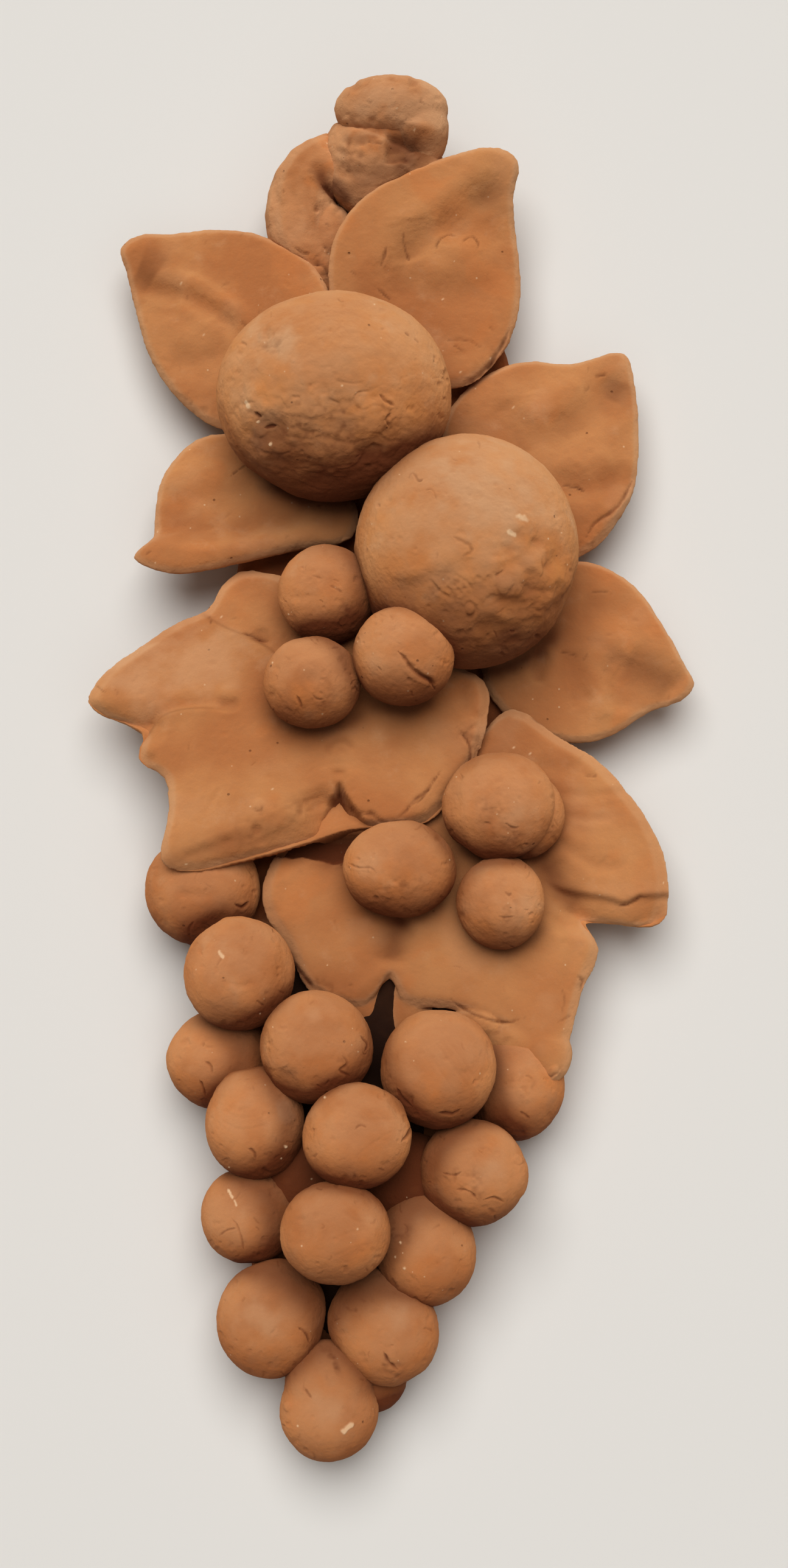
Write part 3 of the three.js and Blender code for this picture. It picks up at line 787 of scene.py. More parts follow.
fruitRolls = {
    "fruit_upper": {"waver": 0.02, "flats": 10, "press": 0.035, "dust": 0.45, "under": 0.85, "marks": [
        ("dust", 6.0, 0.8, [(-0.62, 0.52), (-0.45, 0.45)]),
        ("dust", 5.0, 0.5, [(-0.75, 0.0), (-0.6, -0.2)]),
        ("groove", 2.0, 0.6, [(-0.68, 0.5), (-0.55, 0.44), (-0.44, 0.42)]),
        ("groove", 1.4, 0.5, [(-0.6, 0.58), (-0.5, 0.52)]),
        ("torn", 2.6, 0.4, [(-0.66, 0.54), (-0.46, 0.42)]),
        ("ridge", 4.0, 0.6, [(-0.5, 0.0), (-0.3, 0.12), (-0.1, 0.08), (0.1, 0.2)]),
        ("lumpy", 8.5, 1.1, [(-0.62, -0.1), (-0.2, 0.0), (0.2, -0.05), (0.4, -0.1)]),
        ("lumpy", 8.5, 1.1, [(-0.5, -0.5), (-0.1, -0.45), (0.3, -0.5)]),
        ("lumpy", 6.0, 0.5, [(-0.3, -0.8), (0.2, -0.8)]),
        ("lumpy", 6.0, 0.35, [(0.5, 0.4), (0.7, 0.1)]),
        ("crack", 0.8, 0.16, [(-0.46, -0.14), (-0.2, -0.2), (0.05, -0.14), (0.24, -0.2)]),
        ("crack", 0.7, 0.16, [(-0.2, -0.4), (-0.1, -0.36), (0.1, -0.42), (0.3, -0.38)]),
        ("crack", 0.7, 0.16, [(-0.05, -0.66), (0.15, -0.62), (0.35, -0.66)]),
        ("groove", 1.5, 0.5, [(0.18, 0.06), (0.32, 0.0), (0.42, 0.06)]),
        ("dent", 4.6, 1.0, [(-0.5, -0.34)]),
        ("shade", 3.0, 0.2, [(-0.72, -0.3), (-0.56, -0.36), (-0.36, -0.34)]),
        ("crack", 0.7, 0.8, [(-0.66, -0.15), (-0.62, -0.2)]),
        ("crack", 0.6, 0.6, [(-0.6, -0.3), (-0.5, -0.28)]),
        ("chip", 0.7, 0.1, [(-0.73, -0.06), (-0.71, -0.1)]),
        ("chip", 0.45, 0.1, [(-0.64, -0.24)]),
        ("chip", 0.5, 0.1, [(-0.53, -0.44)]),
        ("chip", 0.35, 0.1, [(0.06, 0.1)]),
        ("crack", 0.7, 1.0, [(0.38, 0.02), (0.42, -0.04), (0.49, -0.08)]),
        ("crack", 0.6, 0.8, [(0.46, -0.14), (0.42, -0.2), (0.45, -0.27)]),
        ("torn", 2.0, 0.4, [(0.4, 0.0), (0.46, -0.25)]),
        ("crack", 0.4, 0.35, [(0.58, 0.6), (0.62, 0.56)]),
        ("crack", 0.4, 0.35, [(0.66, 0.54), (0.7, 0.5)]),
        ("torn", 8.0, 0.2, [(-0.5, -0.3), (0.3, -0.3)]),
    ]},
    "fruit_lower": {"waver": 0.02, "flats": 8, "press": 0.03, "dust": 0.6, "under": 0.85, "marks": [
        ("dust", 10.0, 0.6, [(-0.1, 0.6), (0.3, 0.4)]),
        ("crack", 0.45, 0.45, [(-0.47, 0.65), (-0.42, 0.58), (-0.38, 0.6)]),
        ("dent", 0.7, 0.4, [(-0.78, 0.38)]),
        ("dent", 0.7, 0.4, [(0.25, 0.54)]),
        ("crack", 0.35, 0.3, [(-0.36, 0.5), (-0.3, 0.5), (-0.26, 0.42)]),
        ("chip", 0.9, 0.05, [(0.44, 0.28), (0.5, 0.25)]),
        ("chip", 0.7, 0.05, [(0.36, 0.16), (0.42, 0.13)]),
        ("crack", 0.8, 0.4, [(-0.12, 0.12), (0.0, 0.06), (0.04, 0.0), (-0.04, -0.04)]),
        ("ridge", 2.4, 0.4, [(-0.7, -0.24), (-0.4, -0.16), (-0.1, -0.06), (0.2, 0.06)]),
        ("groove", 2.2, 0.5, [(-0.66, -0.34), (-0.4, -0.26), (-0.15, -0.16), (0.1, -0.04)]),
        ("lumpy", 5.5, 1.2, [(0.3, 0.1), (0.5, 0.05), (0.66, -0.05)]),
        ("lumpy", 6.5, 1.6, [(0.3, -0.2), (0.5, -0.2), (0.7, -0.3)]),
        ("lumpy", 6.0, 1.3, [(0.25, -0.42), (0.55, -0.48)]),
        ("lumpy", 5.5, 0.9, [(0.0, -0.66), (0.4, -0.72)]),
        ("groove", 1.5, 0.8, [(0.16, -0.2), (0.3, -0.16), (0.42, -0.1), (0.52, -0.2), (0.56, -0.4)]),
        ("groove", 1.7, 0.7, [(0.12, -0.34), (0.3, -0.4), (0.46, -0.48), (0.66, -0.58)]),
        ("dent", 2.6, 0.7, [(0.6, 0.04)]),
        ("dent", 2.4, 0.7, [(0.56, -0.2)]),
        ("dent", 2.4, 0.5, [(0.34, 0.02)]),
        ("groove", 0.45, 0.3, [(-0.34, -0.22), (-0.24, -0.32), (-0.12, -0.4)]),
        ("groove", 0.45, 0.25, [(-0.24, -0.2), (-0.12, -0.28), (-0.02, -0.38)]),
        ("groove", 0.4, 0.25, [(-0.14, -0.18), (-0.02, -0.24), (0.06, -0.34)]),
        ("torn", 3.2, 0.7, [(-0.34, -0.24), (-0.16, -0.3), (0.04, -0.4)]),
        ("bead", 1.2, 0.4, [(0.02, -0.47)]),
        ("groove", 0.5, 0.45, [(-0.03, -0.45), (0.02, -0.42), (0.07, -0.47), (0.03, -0.53),
                               (-0.03, -0.51)]),
        ("dent", 0.9, 0.6, [(0.62, -0.72)]),
        ("dent", 0.8, 0.5, [(0.3, -0.86)]),
    ]},
}
for seed, name in enumerate(fruitRolls):
    rollBall(name, "fruit_clay", 40 + seed, fruitRolls[name], fineness=8)
print("swag: fruits rolled")


# Pressed clay: leaves, stem and back, remade from the frame's solids with an even fine skin

def softCopy(node, voxel, rubs, grow, lumpsAdded=()):
    # voxel and grow are in mm; lumpsAdded are rounds of clay pushed on: (centre, half widths)
    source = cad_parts[node]
    build = bmesh.new()
    build.from_mesh(source.data)
    for centre, half in lumpsAdded:
        added = bmesh.ops.create_icosphere(build, subdivisions=4, radius=mm)["verts"]
        for vert in added:
            vert.co = [(c * mm + v * h) for c, v, h in zip(centre, vert.co, half)]
    joined = bpy.data.meshes.new("work")
    build.to_mesh(joined)
    build.free()
    work = bpy.data.objects.new("work", joined)
    bpy.context.scene.collection.objects.link(work)
    remesh = work.modifiers.new("skin", "REMESH")
    remesh.mode = "VOXEL"
    remesh.voxel_size = voxel * mm
    rub = work.modifiers.new("rub", "SMOOTH")
    rub.factor = 0.5
    rub.iterations = rubs
    ready = work.evaluated_get(bpy.context.evaluated_depsgraph_get())
    mesh = bpy.data.meshes.new_from_object(ready)
    mesh.name = "clay_" + node
    mesh.materials.clear()
    bpy.data.objects.remove(work)
    setPoints(mesh, pointsOf(mesh) + grow * normalsOf(mesh))
    return mesh


leafPress = {
    "voxel": 0.5,           # mm, how fine the skin is
    "rubs": 12,             # how many times it is rubbed smooth
    "grow": 0.4,            # mm, given back after rubbing
    "nicks": 40,
    "pimple": 0.20,         # mm, small bumps
    "grain": 0.09,          # mm
    "shade": 0.26,          # painted shade: how much deeper the colour is beside a ball
    "rimDust": 0.55,
    "dust": 0.25,
}
stemPress = dict(leafPress, voxel=0.45, rubs=14, grow=0.5)


def pressClay(name, slotName, level, wave, strokes, seed, press, added=()):
    # level is the height of the sheet that the strokes are laid out on, wave the swell of the surface, mm
    mesh = softCopy(name, press["voxel"], press["rubs"], press["grow"], added)
    points, facing = pointsOf(mesh), normalsOf(mesh)
    spots = seenOn(points, level)
    strokes = strokes + nicks(spots[facing[:, 2] > 0.5], press["nicks"], seed)
    lift, paint = workClay(points, spots, strokes)
    front = easeIn(facing[:, 2], -0.6, 0.25)
    paint *= front[:, None]
    # painted shade beside the balls
    paint[:, 1] += press["shade"] * tuckedIn(points, facing)
    points[:, 2] += lift * front
    bumps = wave * lumps(points, 13, seed, 2) + press["pimple"] * lumps(points, 3.4, seed + 4, 3)
    bumps += press["grain"] * lumps(points, 1.1, seed + 8, 2)
    rim = easeIn(facing[:, 2], 0.05, 0.35) * easeIn(facing[:, 2], 0.97, 0.6)
    patchy = easeIn(lumps(points, 9, seed + 3, 3), 0.1, 0.6)
    paint[:, 2] += press["rimDust"] * rim + press["dust"] * patchy
    setPoints(mesh, points + facing * bumps[:, None])
    return finishPiece(name, mesh, slotName, paint)


leafStrokes = {                 # level and wave in mm, then the strokes
    "leaf_top_right": (20, 0.30, [
        ("groove", 3.9, 1.9, [(31, 162), (26, 156), (21, 151), (15, 146), (8, 141), (2, 134),
                              (-1, 127), (-3, 122)]),
        ("ridge", 3.8, 1.2, [(26, 162), (18, 156), (12, 151), (5, 146), (-2, 140)]),
        ("groove", 4.5, 1.7, [(0, 133), (7, 128.5), (14, 127.5), (21, 128.5), (28, 131)]),
        ("ridge", 3.9, 1.0, [(3, 137), (10, 133), (18, 133), (26, 135)]),
        ("groove", 3.0, 1.0, [(11, 148), (16, 144), (22, 143), (28, 144)]),
        ("groove", 4.5, 1.2, [(2, 147), (3, 141), (4, 135)]),
        ("dent", 7.0, 1.0, [(25, 153)]),
        ("shade", 5.0, 0.25, [(22, 156), (26, 150), (28, 146)]),
        ("crack", 0.55, 0.6, [(10.5, 138), (11.5, 141), (14, 143), (16, 142.3)]),
        ("crack", 0.5, 0.5, [(17.5, 139.5), (18, 141), (20, 142), (21.5, 139.5), (20.5, 137.5)]),
        ("crack", 0.6, 0.8, [(-3.5, 133.6), (-2.5, 136.5), (-2, 139)]),
        ("crack", 0.6, 0.5, [(2.5, 143.5), (2.6, 140), (4, 136)]),
        ("crack", 0.6, 0.6, [(-4, 128), (-2.5, 126.5), (-1, 125)]),
        ("crack", 0.5, 0.4, [(-11, 132.6), (-9.6, 131.4)]),
        ("crack", 0.5, 0.5, [(15, 113), (17.5, 111.2)]),
        ("crack", 0.5, 0.5, [(13, 114), (17, 114.4), (20, 113.5), (22.5, 112)]),
        ("crack", 0.45, 0.4, [(24, 118), (25.5, 116.6)]),
        ("bevel", 4.5, 2.8, [(13, 101), (20, 104.5), (25, 108.5), (28, 113), (31, 120)]),
        ("crack", 0.9, 1.0, [(16.5, 101.5), (21, 104.6), (24.5, 108), (27.3, 112.5), (29.3, 117)]),
        ("torn", 2.6, 0.5, [(18, 102), (24, 107), (28, 113)]),
    ]),
    "leaf_top_left": (17, 0.30, [
        ("groove", 2.2, 1.9, [(-68, 131), (-60, 128.9), (-55, 128.2), (-50, 126), (-46, 123),
                              (-42, 120), (-38, 117)]),
        ("ridge", 2.7, 1.4, [(-57, 131), (-51, 128.8), (-45, 125.2), (-40, 121.6), (-35, 118)]),
        ("groove", 3.6, 1.2, [(-66, 127), (-60, 126.4), (-54, 126)]),
        ("dent", 8.0, 1.4, [(-63.5, 134)]),
        ("shade", 5.0, 0.3, [(-66, 135), (-61, 132)]),
        ("groove", 3.9, 1.4, [(-59, 111), (-52, 110.5), (-46, 111.5), (-40, 113)]),
        ("ridge", 3.6, 0.7, [(-57, 115), (-50, 114.5), (-44, 115.5)]),
        ("crack", 0.4, 0.4, [(-39, 120), (-37.2, 118.6)]),
        ("crack", 0.4, 0.35, [(-35.2, 121), (-33.8, 120)]),
        ("dent", 0.7, 0.5, [(-63, 120)]),
        ("dent", 0.7, 0.4, [(-63.7, 125.6)]),
        ("chip", 0.35, 0.05, [(-54.5, 130.5)]),
        ("chip", 0.3, 0.05, [(-49.2, 120.2)]),
        ("chip", 0.3, 0.05, [(-50, 107.5)]),
        ("chip", 0.3, 0.05, [(-48.3, 116.5)]),
        ("bevel", 3.6, 1.8, [(-63.5, 115), (-60, 108.5), (-56, 103.5), (-51, 99), (-47, 95.5),
                             (-44, 92)]),
        ("torn", 2.0, 0.3, [(-52, 99), (-46, 95)]),
    ]),
    "leaf_mid_right": (15, 0.30, [
        ("groove", 4.5, 1.9, [(58, 108), (54.5, 102), (50, 98), (46, 95), (41, 92), (36, 86)]),
        ("dent", 5.5, 1.0, [(43.5, 92.5)]),
        ("dent", 5.0, 0.8, [(57, 103)]),
        ("shade", 4.0, 0.25, [(58, 106), (55, 100)]),
        ("ridge", 4.5, 1.2, [(50, 104), (44, 100.5), (38, 97.5), (32, 94)]),
        ("groove", 3.6, 1.7, [(27.5, 101), (29.5, 95), (31.5, 90), (35, 84)]),
        ("groove", 3.3, 2.0, [(37, 81), (42, 77.5), (47, 76.5), (52, 77), (57, 79.5), (60.5, 84)]),
        ("ridge", 3.8, 1.0, [(40, 73), (47, 72.5), (54, 74)]),
        ("ridge", 3.9, 0.8, [(40, 84), (48, 82), (56, 85)]),
        ("crack", 0.5, 0.6, [(51, 106.4), (53, 106.8), (54.5, 107.2)]),
        ("crack", 0.4, 0.4, [(50, 104), (48.6, 102.2)]),
        ("crack", 0.5, 0.6, [(43, 78), (46, 77.5), (48.5, 76.2)]),
        ("bevel", 4.0, 2.6, [(44, 57), (51, 65), (55, 69.5), (58, 74), (60.8, 81)]),
        ("crack", 0.7, 0.9, [(60.2, 79), (58.3, 75), (56, 71.5), (53.5, 69.5), (50.5, 67.4),
                             (48.5, 64)]),
        ("torn", 2.4, 0.4, [(46, 60), (52, 66.5)]),
    ]),
    "leaf_low_right": (15, 0.30, [
        ("ridge", 4.2, 1.9, [(75, 28), (68, 31.5), (62, 34.5), (56, 36.5), (48, 37)]),
        ("groove", 5.4, 2.2, [(73, 24.5), (67, 27.5), (61, 30), (56.5, 33)]),
        ("shade", 4.5, 0.3, [(70, 25), (63, 29), (57, 32)]),
        ("ridge", 3.3, 1.4, [(50.5, 37), (49.5, 30), (50.5, 24), (54, 15)]),
        ("groove", 3.3, 1.4, [(45.5, 36), (45.5, 28), (47, 20)]),
        ("groove", 2.7, 1.4, [(56, 35), (55, 27), (57, 18)]),
        ("groove", 1.7, 2.0, [(37, 36), (36.4, 31), (35.2, 26)]),
        ("crack", 0.4, 0.5, [(41.5, 34.5), (44.5, 34), (46, 33.2)]),
        ("crack", 0.4, 0.4, [(49, 49.6), (52, 50.1), (54.5, 49.5)]),
        ("groove", 3.9, 1.2, [(46, 47), (53, 46), (61, 45)]),
        ("dent", 0.6, 0.4, [(69.5, 31.3)]),
        ("shade", 2.2, 0.6, [(14, 34), (17.8, 31.6), (24.4, 29.8), (31, 31.6), (37.8, 36.4),
                             (42.6, 43.4)]),
        ("bevel", 3.0, 1.6, [(40, 11.6), (48, 11.8), (54, 13.5), (60, 17), (68, 20.3), (76, 26)]),
    ]),
    "leaf_mid_left": (20, 0.30, [
        ("ridge", 3.3, 2.2, [(-64, 59), (-59, 60), (-49, 59.6), (-40, 60.2), (-29, 62.2),
                             (-19, 63.6), (-12, 64.4)]),
        ("groove", 3.3, 1.7, [(-60, 64.6), (-50, 64), (-40, 64.8), (-30, 66.8), (-20, 68.4)]),
        ("groove", 3.9, 1.2, [(-58, 70), (-50, 73), (-42, 73.5), (-34, 76)]),
        ("ridge", 3.6, 0.8, [(-57, 74), (-50, 77.5), (-42, 78)]),
        ("crack", 0.45, 0.5, [(-41, 78.5), (-39, 80), (-37, 81.5)]),
        ("bead", 1.3, 1.0, [(-11.8, 61.2)]),
        ("shade", 2.6, 0.8, [(-34, 78.6), (-30.7, 76.6), (-23, 72.8), (-15, 71.8), (-9.8, 73.2),
                             (-4, 77.4)]),
        ("dent", 0.6, 0.4, [(-53, 82.5)]),
        ("crack", 0.4, 0.4, [(-62, 58), (-60.6, 58.8)]),
    ]),
    "vine_leaf_left": (26, 0.35, [
        ("step", 4.0, -3.0, [(-49, 43), (-44, 39.5), (-39, 37), (-34, 35), (-29, 31.5), (-24, 27)]),
        ("dent", 3.4, 1.6, [(-33, 35.8)]),
        ("crack", 0.6, 0.8, [(-37.5, 37), (-34, 35.8), (-30.6, 34.6)]),
        ("crack", 0.5, 0.5, [(-45.5, 41.3), (-45, 38.8)]),
        ("bevel", 5.0, 4.4, [(-79, 21.6), (-72, 20.8), (-66, 20.3), (-60, 19.8), (-56, 18.8),
                             (-53, 18)]),
        ("groove", 1.3, 0.7, [(-58, 18), (-52, 18.9), (-46, 19.6), (-42, 19.4), (-37.5, 18.4)]),
        ("dent", 2.4, 1.5, [(-41.5, 18.8), (-39.5, 18.7)]),
        ("ridge", 0.8, 0.4, [(-44, 17.2), (-40.4, 16.2), (-37.6, 17.4)]),
        ("step", 4.0, -3.6, [(-63, 8), (-60.5, 12), (-57.5, 15.5), (-52, 17.3), (-46, 17.8),
                             (-41, 17)]),
        ("groove", 0.8, 0.9, [(-16.3, 5), (-15.8, 8), (-13.5, 9.5), (-11.4, 9), (-9.8, 6.6)]),
        ("ridge", 1.5, 0.4, [(-13.6, 4.4), (-13.2, 7)]),
        ("hollow", 1.8, 4.6, [(-13.4, 0.2), (-16.5, -5), (-19.5, -15.5), (-2, -14.5), (-7.5, -8.5),
                              (-11, -4)]),
        ("groove", 1.6, 1.6, [(-13.4, 3), (-13.5, -0.5), (-13.2, -4)]),
        ("ridge", 1.0, 1.0, [(-14.6, -1), (-15, -5), (-16.4, -10)]),
        ("ridge", 0.8, 0.8, [(-12.6, -2), (-11.4, -6), (-9.4, -10)]),
        ("groove", 0.8, 0.9, [(-13.4, -2), (-13.2, -6), (-13, -11)]),
        ("shade", 1.6, 0.4, [(-13.4, -1), (-13.2, -6), (-12, -11)]),
        ("torn", 3.4, 0.8, [(-14, -2), (-14, -12)]),
        ("dust", 12, 0.9, [(-62, 26), (-54, 29), (-46, 30)]),
        ("shade", 3.6, 0.3, [(-62, -23.6), (-50, -18.6), (-40, -15.4), (-30, -11.6), (-20, -7)]),
        ("shade", 2.0, 0.35, [(-31, 18.4), (-24.8, 14.0), (-17.2, 12.5), (-9.1, 15.6), (-5, 18.6)]),
        ("shade", 2.0, 0.4, [(-8, 18), (-5.3, 18.9), (3.4, 17.4), (11, 21.6)]),
        ("shade", 2.0, 0.35, [(-25, 38.4), (-22.8, 36.8), (-16.3, 34.4), (-10.8, 34)]),
        ("bevel", 9.0, 5.0, [(-66, -25), (-59, -21), (-50, -17), (-43, -14), (-37, -12), (-33, -9.6),
                             (-28, -7.6),
                             (-23, -5), (-19, -3), (-15.5, -1), (-11, 3)]),
        ("lumpy", 3.4, 1.3, [(-44, -17), (-36, -14), (-28, -11), (-20, -7)]),
        ("lumpy", 2.6, 1.0, [(-34, -17), (-26, -14), (-19, -12)]),
        ("groove", 1.0, 0.7, [(-52, -19.4), (-43, -16.2), (-37, -14)]),
        ("dent", 1.9, 1.6, [(-33.3, -12.4)]),
        ("torn", 3.0, 0.9, [(-38, -14), (-27, -9.5), (-18, -5)]),
        ("bevel", 5.0, 4.0, [(-13.5, 1), (-12, -3), (-9.5, -7.3), (-5, -8.6), (-1.5, -10.8), (2, -12)]),
        ("crack", 0.8, 1.0, [(-12.4, -2), (-9.5, -7.3), (-7, -8), (-5, -8.3), (-3, -10),
                             (-0.5, -10.6)]),
        ("bevel", 5.0, 2.4, [(-2, -11.5), (4, -7.5), (8, -3), (11.5, 0.5), (16, 4), (19, 9), (21, 14)]),
        ("crack", 0.6, 0.9, [(11.8, 3), (9.5, -0.5), (7.5, -3), (5, -5), (3, -7.6), (0.6, -9.8)]),
        ("crack", 0.5, 0.6, [(9, -1.6), (6.4, -5), (4, -6.4)]),
        ("torn", 2.6, 0.9, [(20, 17), (17.8, 11.5), (19, 5)]),
        ("crack", 0.6, 0.9, [(15.3, 13), (17.8, 10), (18.7, 7), (18.2, 3)]),
        ("bead", 1.6, 1.2, [(18.2, 14)]),
        ("bead", 1.3, 0.9, [(19.8, 11.4)]),
        ("bead", 1.1, 0.8, [(16.9, 12.2)]),
        ("ridge", 1.6, 0.9, [(19.6, 29), (20.2, 24), (20.6, 19), (20.4, 15)]),
        ("groove", 1.5, 0.8, [(16.5, 25), (17.3, 20), (17.2, 16)]),
        ("groove", 0.6, 0.35, [(-42, -1.5), (-44, -5), (-45.4, -8.5)]),
        ("bead", 1.5, 0.5, [(-32.6, -6.2)]),
        ("crack", 0.4, 0.4, [(-34.2, -7), (-32.5, -7.7), (-31.7, -6)]),
        ("crack", 0.4, 0.4, [(-35, 3.4), (-33, 4.9)]),
        ("crack", 0.4, 0.4, [(-73, 23.6), (-70.5, 21.5)]),
        ("crack", 0.35, 0.4, [(-68, 22.8), (-67.8, 21)]),
        ("bevel", 4.0, 1.8, [(-59.5, 13), (-57.5, 8), (-56.6, 4), (-54.8, 0), (-53.4, -7)]),
        ("dent", 2.2, 0.9, [(-59, 5.4)]),
        ("chip", 2.2, 0.5, [(-16.0, -11.7), (-14.5, -11.1)]),
    ]),
    "vine_leaf_right": (21, 0.35, [
        ("groove", 1.8, 0.9, [(34, 5), (40, 3.9), (45, 3.8), (50, 5)]),
        ("bead", 1.7, 1.0, [(48, 3.6)]),
        ("crack", 0.5, 0.5, [(46.6, 2.2), (48.6, 1.6), (50, 2.4)]),
        ("groove", 1.0, 0.5, [(39, -2), (45, -3), (52, -2.6), (60, -1)]),
        ("groove", 1.0, 0.5, [(40, -7.5), (47, -9), (54, -8.4)]),
        ("groove", 1.4, 0.8, [(36, -12), (41, -15), (45, -18), (50, -20.6), (58, -20.4)]),
        ("ridge", 1.8, 0.5, [(40, -11), (46, -14.4), (53, -16.6)]),
        ("groove", 3.4, 2.6, [(33, -14), (37, -20), (40.5, -26), (45, -31), (49, -34.5)]),
        ("shade", 3.0, 0.4, [(36, -18), (41, -26), (46, -31)]),
        ("bevel", 5.0, 3.4, [(38, -24), (43, -26.6), (47, -27.2), (52, -28.3), (56, -29.4),
                             (60, -28), (64, -27.6), (69, -28)]),
        ("step", 3.0, 2.4, [(36, -23), (41, -26), (46, -27.4), (52, -28.4), (56, -29.4), (60, -28),
                            (66, -27.6), (73, -28)]),
        ("crack", 0.6, 0.9, [(54.5, -30), (57.5, -29.4), (60, -27.9), (62.4, -28.3)]),
        ("dent", 0.9, 0.6, [(56.6, -28.6)]),
        ("ridge", 2.6, 0.9, [(36, -30), (41, -31.4), (45, -35.4), (47.4, -40), (46.8, -45)]),
        ("groove", 1.4, 0.6, [(37, -31), (41, -35), (43, -41), (42, -46), (41, -52)]),
        ("crack", 0.7, 1.0, [(44.3, -47.4), (45.6, -48.8), (45, -50.6)]),
        ("crack", 0.4, 0.4, [(40.4, -50), (41, -52.6), (40.6, -56)]),
        ("crack", 0.4, 0.4, [(39.6, -58.4), (42.6, -56.8)]),
        ("groove", 2.8, 2.2, [(3, -31), (0.6, -36), (-0.2, -41), (-1, -46)]),
        ("shade", 4.0, 0.35, [(4, -33), (0, -38), (0, -44)]),
        ("ridge", 1.4, 0.7, [(-11, -53), (-5.6, -48.4), (-1.4, -45.8), (0.6, -48.6), (2, -55)]),
        ("shade", 1.8, 0.35, [(-9.9, -27.8), (-6.3, -31.8), (1, -33.6), (9.2, -31.4), (14.6, -27)]),
        ("shade", 1.8, 0.4, [(17.5, -34.4), (22.6, -39.2), (27.8, -41.2), (34, -38), (37, -33)]),
        ("shade", 1.8, 0.5, [(13.4, -15.6), (25.9, -18.8), (35.3, -18), (40.8, -12)]),
        ("hollow", 1.4, 5.0, [(-34, -11), (-31, -19), (-22, -18.6), (-15, -20.4), (-9, -19.8),
                              (-5, -12)]),
        ("shade", 3.0, 0.95, [(-36, -14), (-30, -16.4), (-21, -16), (-14, -17.6), (-8, -16.6),
                              (-3, -14)]),
        ("crack", 0.6, 0.9, [(13.6, -52.6), (15.6, -54.6), (18.6, -56.2), (22, -57.6), (27, -58.6),
                             (31.5, -57.4)]),
        ("bevel", 6.0, 4.6, [(13, -53), (18.6, -57), (25, -60), (30, -62.2), (34.6, -64.6),
                             (38.4, -67.4), (41, -71)]),
        ("torn", 2.6, 0.8, [(16, -56), (24, -60), (31, -61)]),
        ("torn", 2.4, 0.7, [(33, -70), (38, -71), (40, -68)]),
        ("bead", 1.5, 1.0, [(38.6, -70.4)]),
        ("crack", 0.5, 0.6, [(35, -70), (37, -71.6), (39.4, -70.4)]),
        ("step", 2.0, 1.2, [(-25.5, -40), (-24.2, -44), (-21.8, -47.6), (-18.6, -50.6)]),
        ("crack", 0.7, 0.9, [(-24.6, -43.4), (-22, -47), (-19.4, -50.2)]),
        ("torn", 2.0, 0.6, [(-22, -49), (-12, -52), (-8, -54.6)]),
        ("crack", 0.35, 0.35, [(-11.6, -49), (-9.4, -49.8)]),
        ("crack", 0.35, 0.3, [(-14.2, -33), (-14, -37)]),
        ("groove", 1.4, 0.5, [(-10, -30), (-9, -36), (-10, -42)]),
        ("groove", 1.6, 0.6, [(-26, -24), (-27.6, -29), (-28.6, -33)]),
        ("crack", 0.5, 0.5, [(29, 19.6), (30.8, 18.6)]),
        ("crack", 0.6, 0.6, [(34, 16.4), (37, 14.6), (41, 13)]),
        ("dent", 0.5, 0.4, [(-24.6, -26.6)]),
        ("dent", 0.5, 0.4, [(-24.2, -35.4)]),
    ]),
}
leafFolds = {                   # clay pushed on after cutting: centre and half widths
    "vine_leaf_right": [
        ((20, -59.4, 21), (6.5, 4.8, 5)),
        ((28, -63.4, 20.6), (8, 6, 5.5)),
        ((36, -66, 20.6), (6.5, 7, 5.5)),
        ((-7.6, -53, 18), (5.2, 8.0, 4.0)),
        ((3.8, -54.6, 18), (5.2, 8.6, 4.0)),
    ],
    "vine_leaf_left": [
        ((-15.4, -12.4, 21), (2.2, 1.5, 1.4)),
        ((-13, -7, 20), (2.6, 5.5, 3.4)),
    ],
}
for seed, (name, (level, wave, strokes)) in enumerate(leafStrokes.items()):
    pressClay(name, "leaf_clay", level, wave, strokes, seed, leafPress, leafFolds.get(name, ()))
print("swag: leaves pressed")

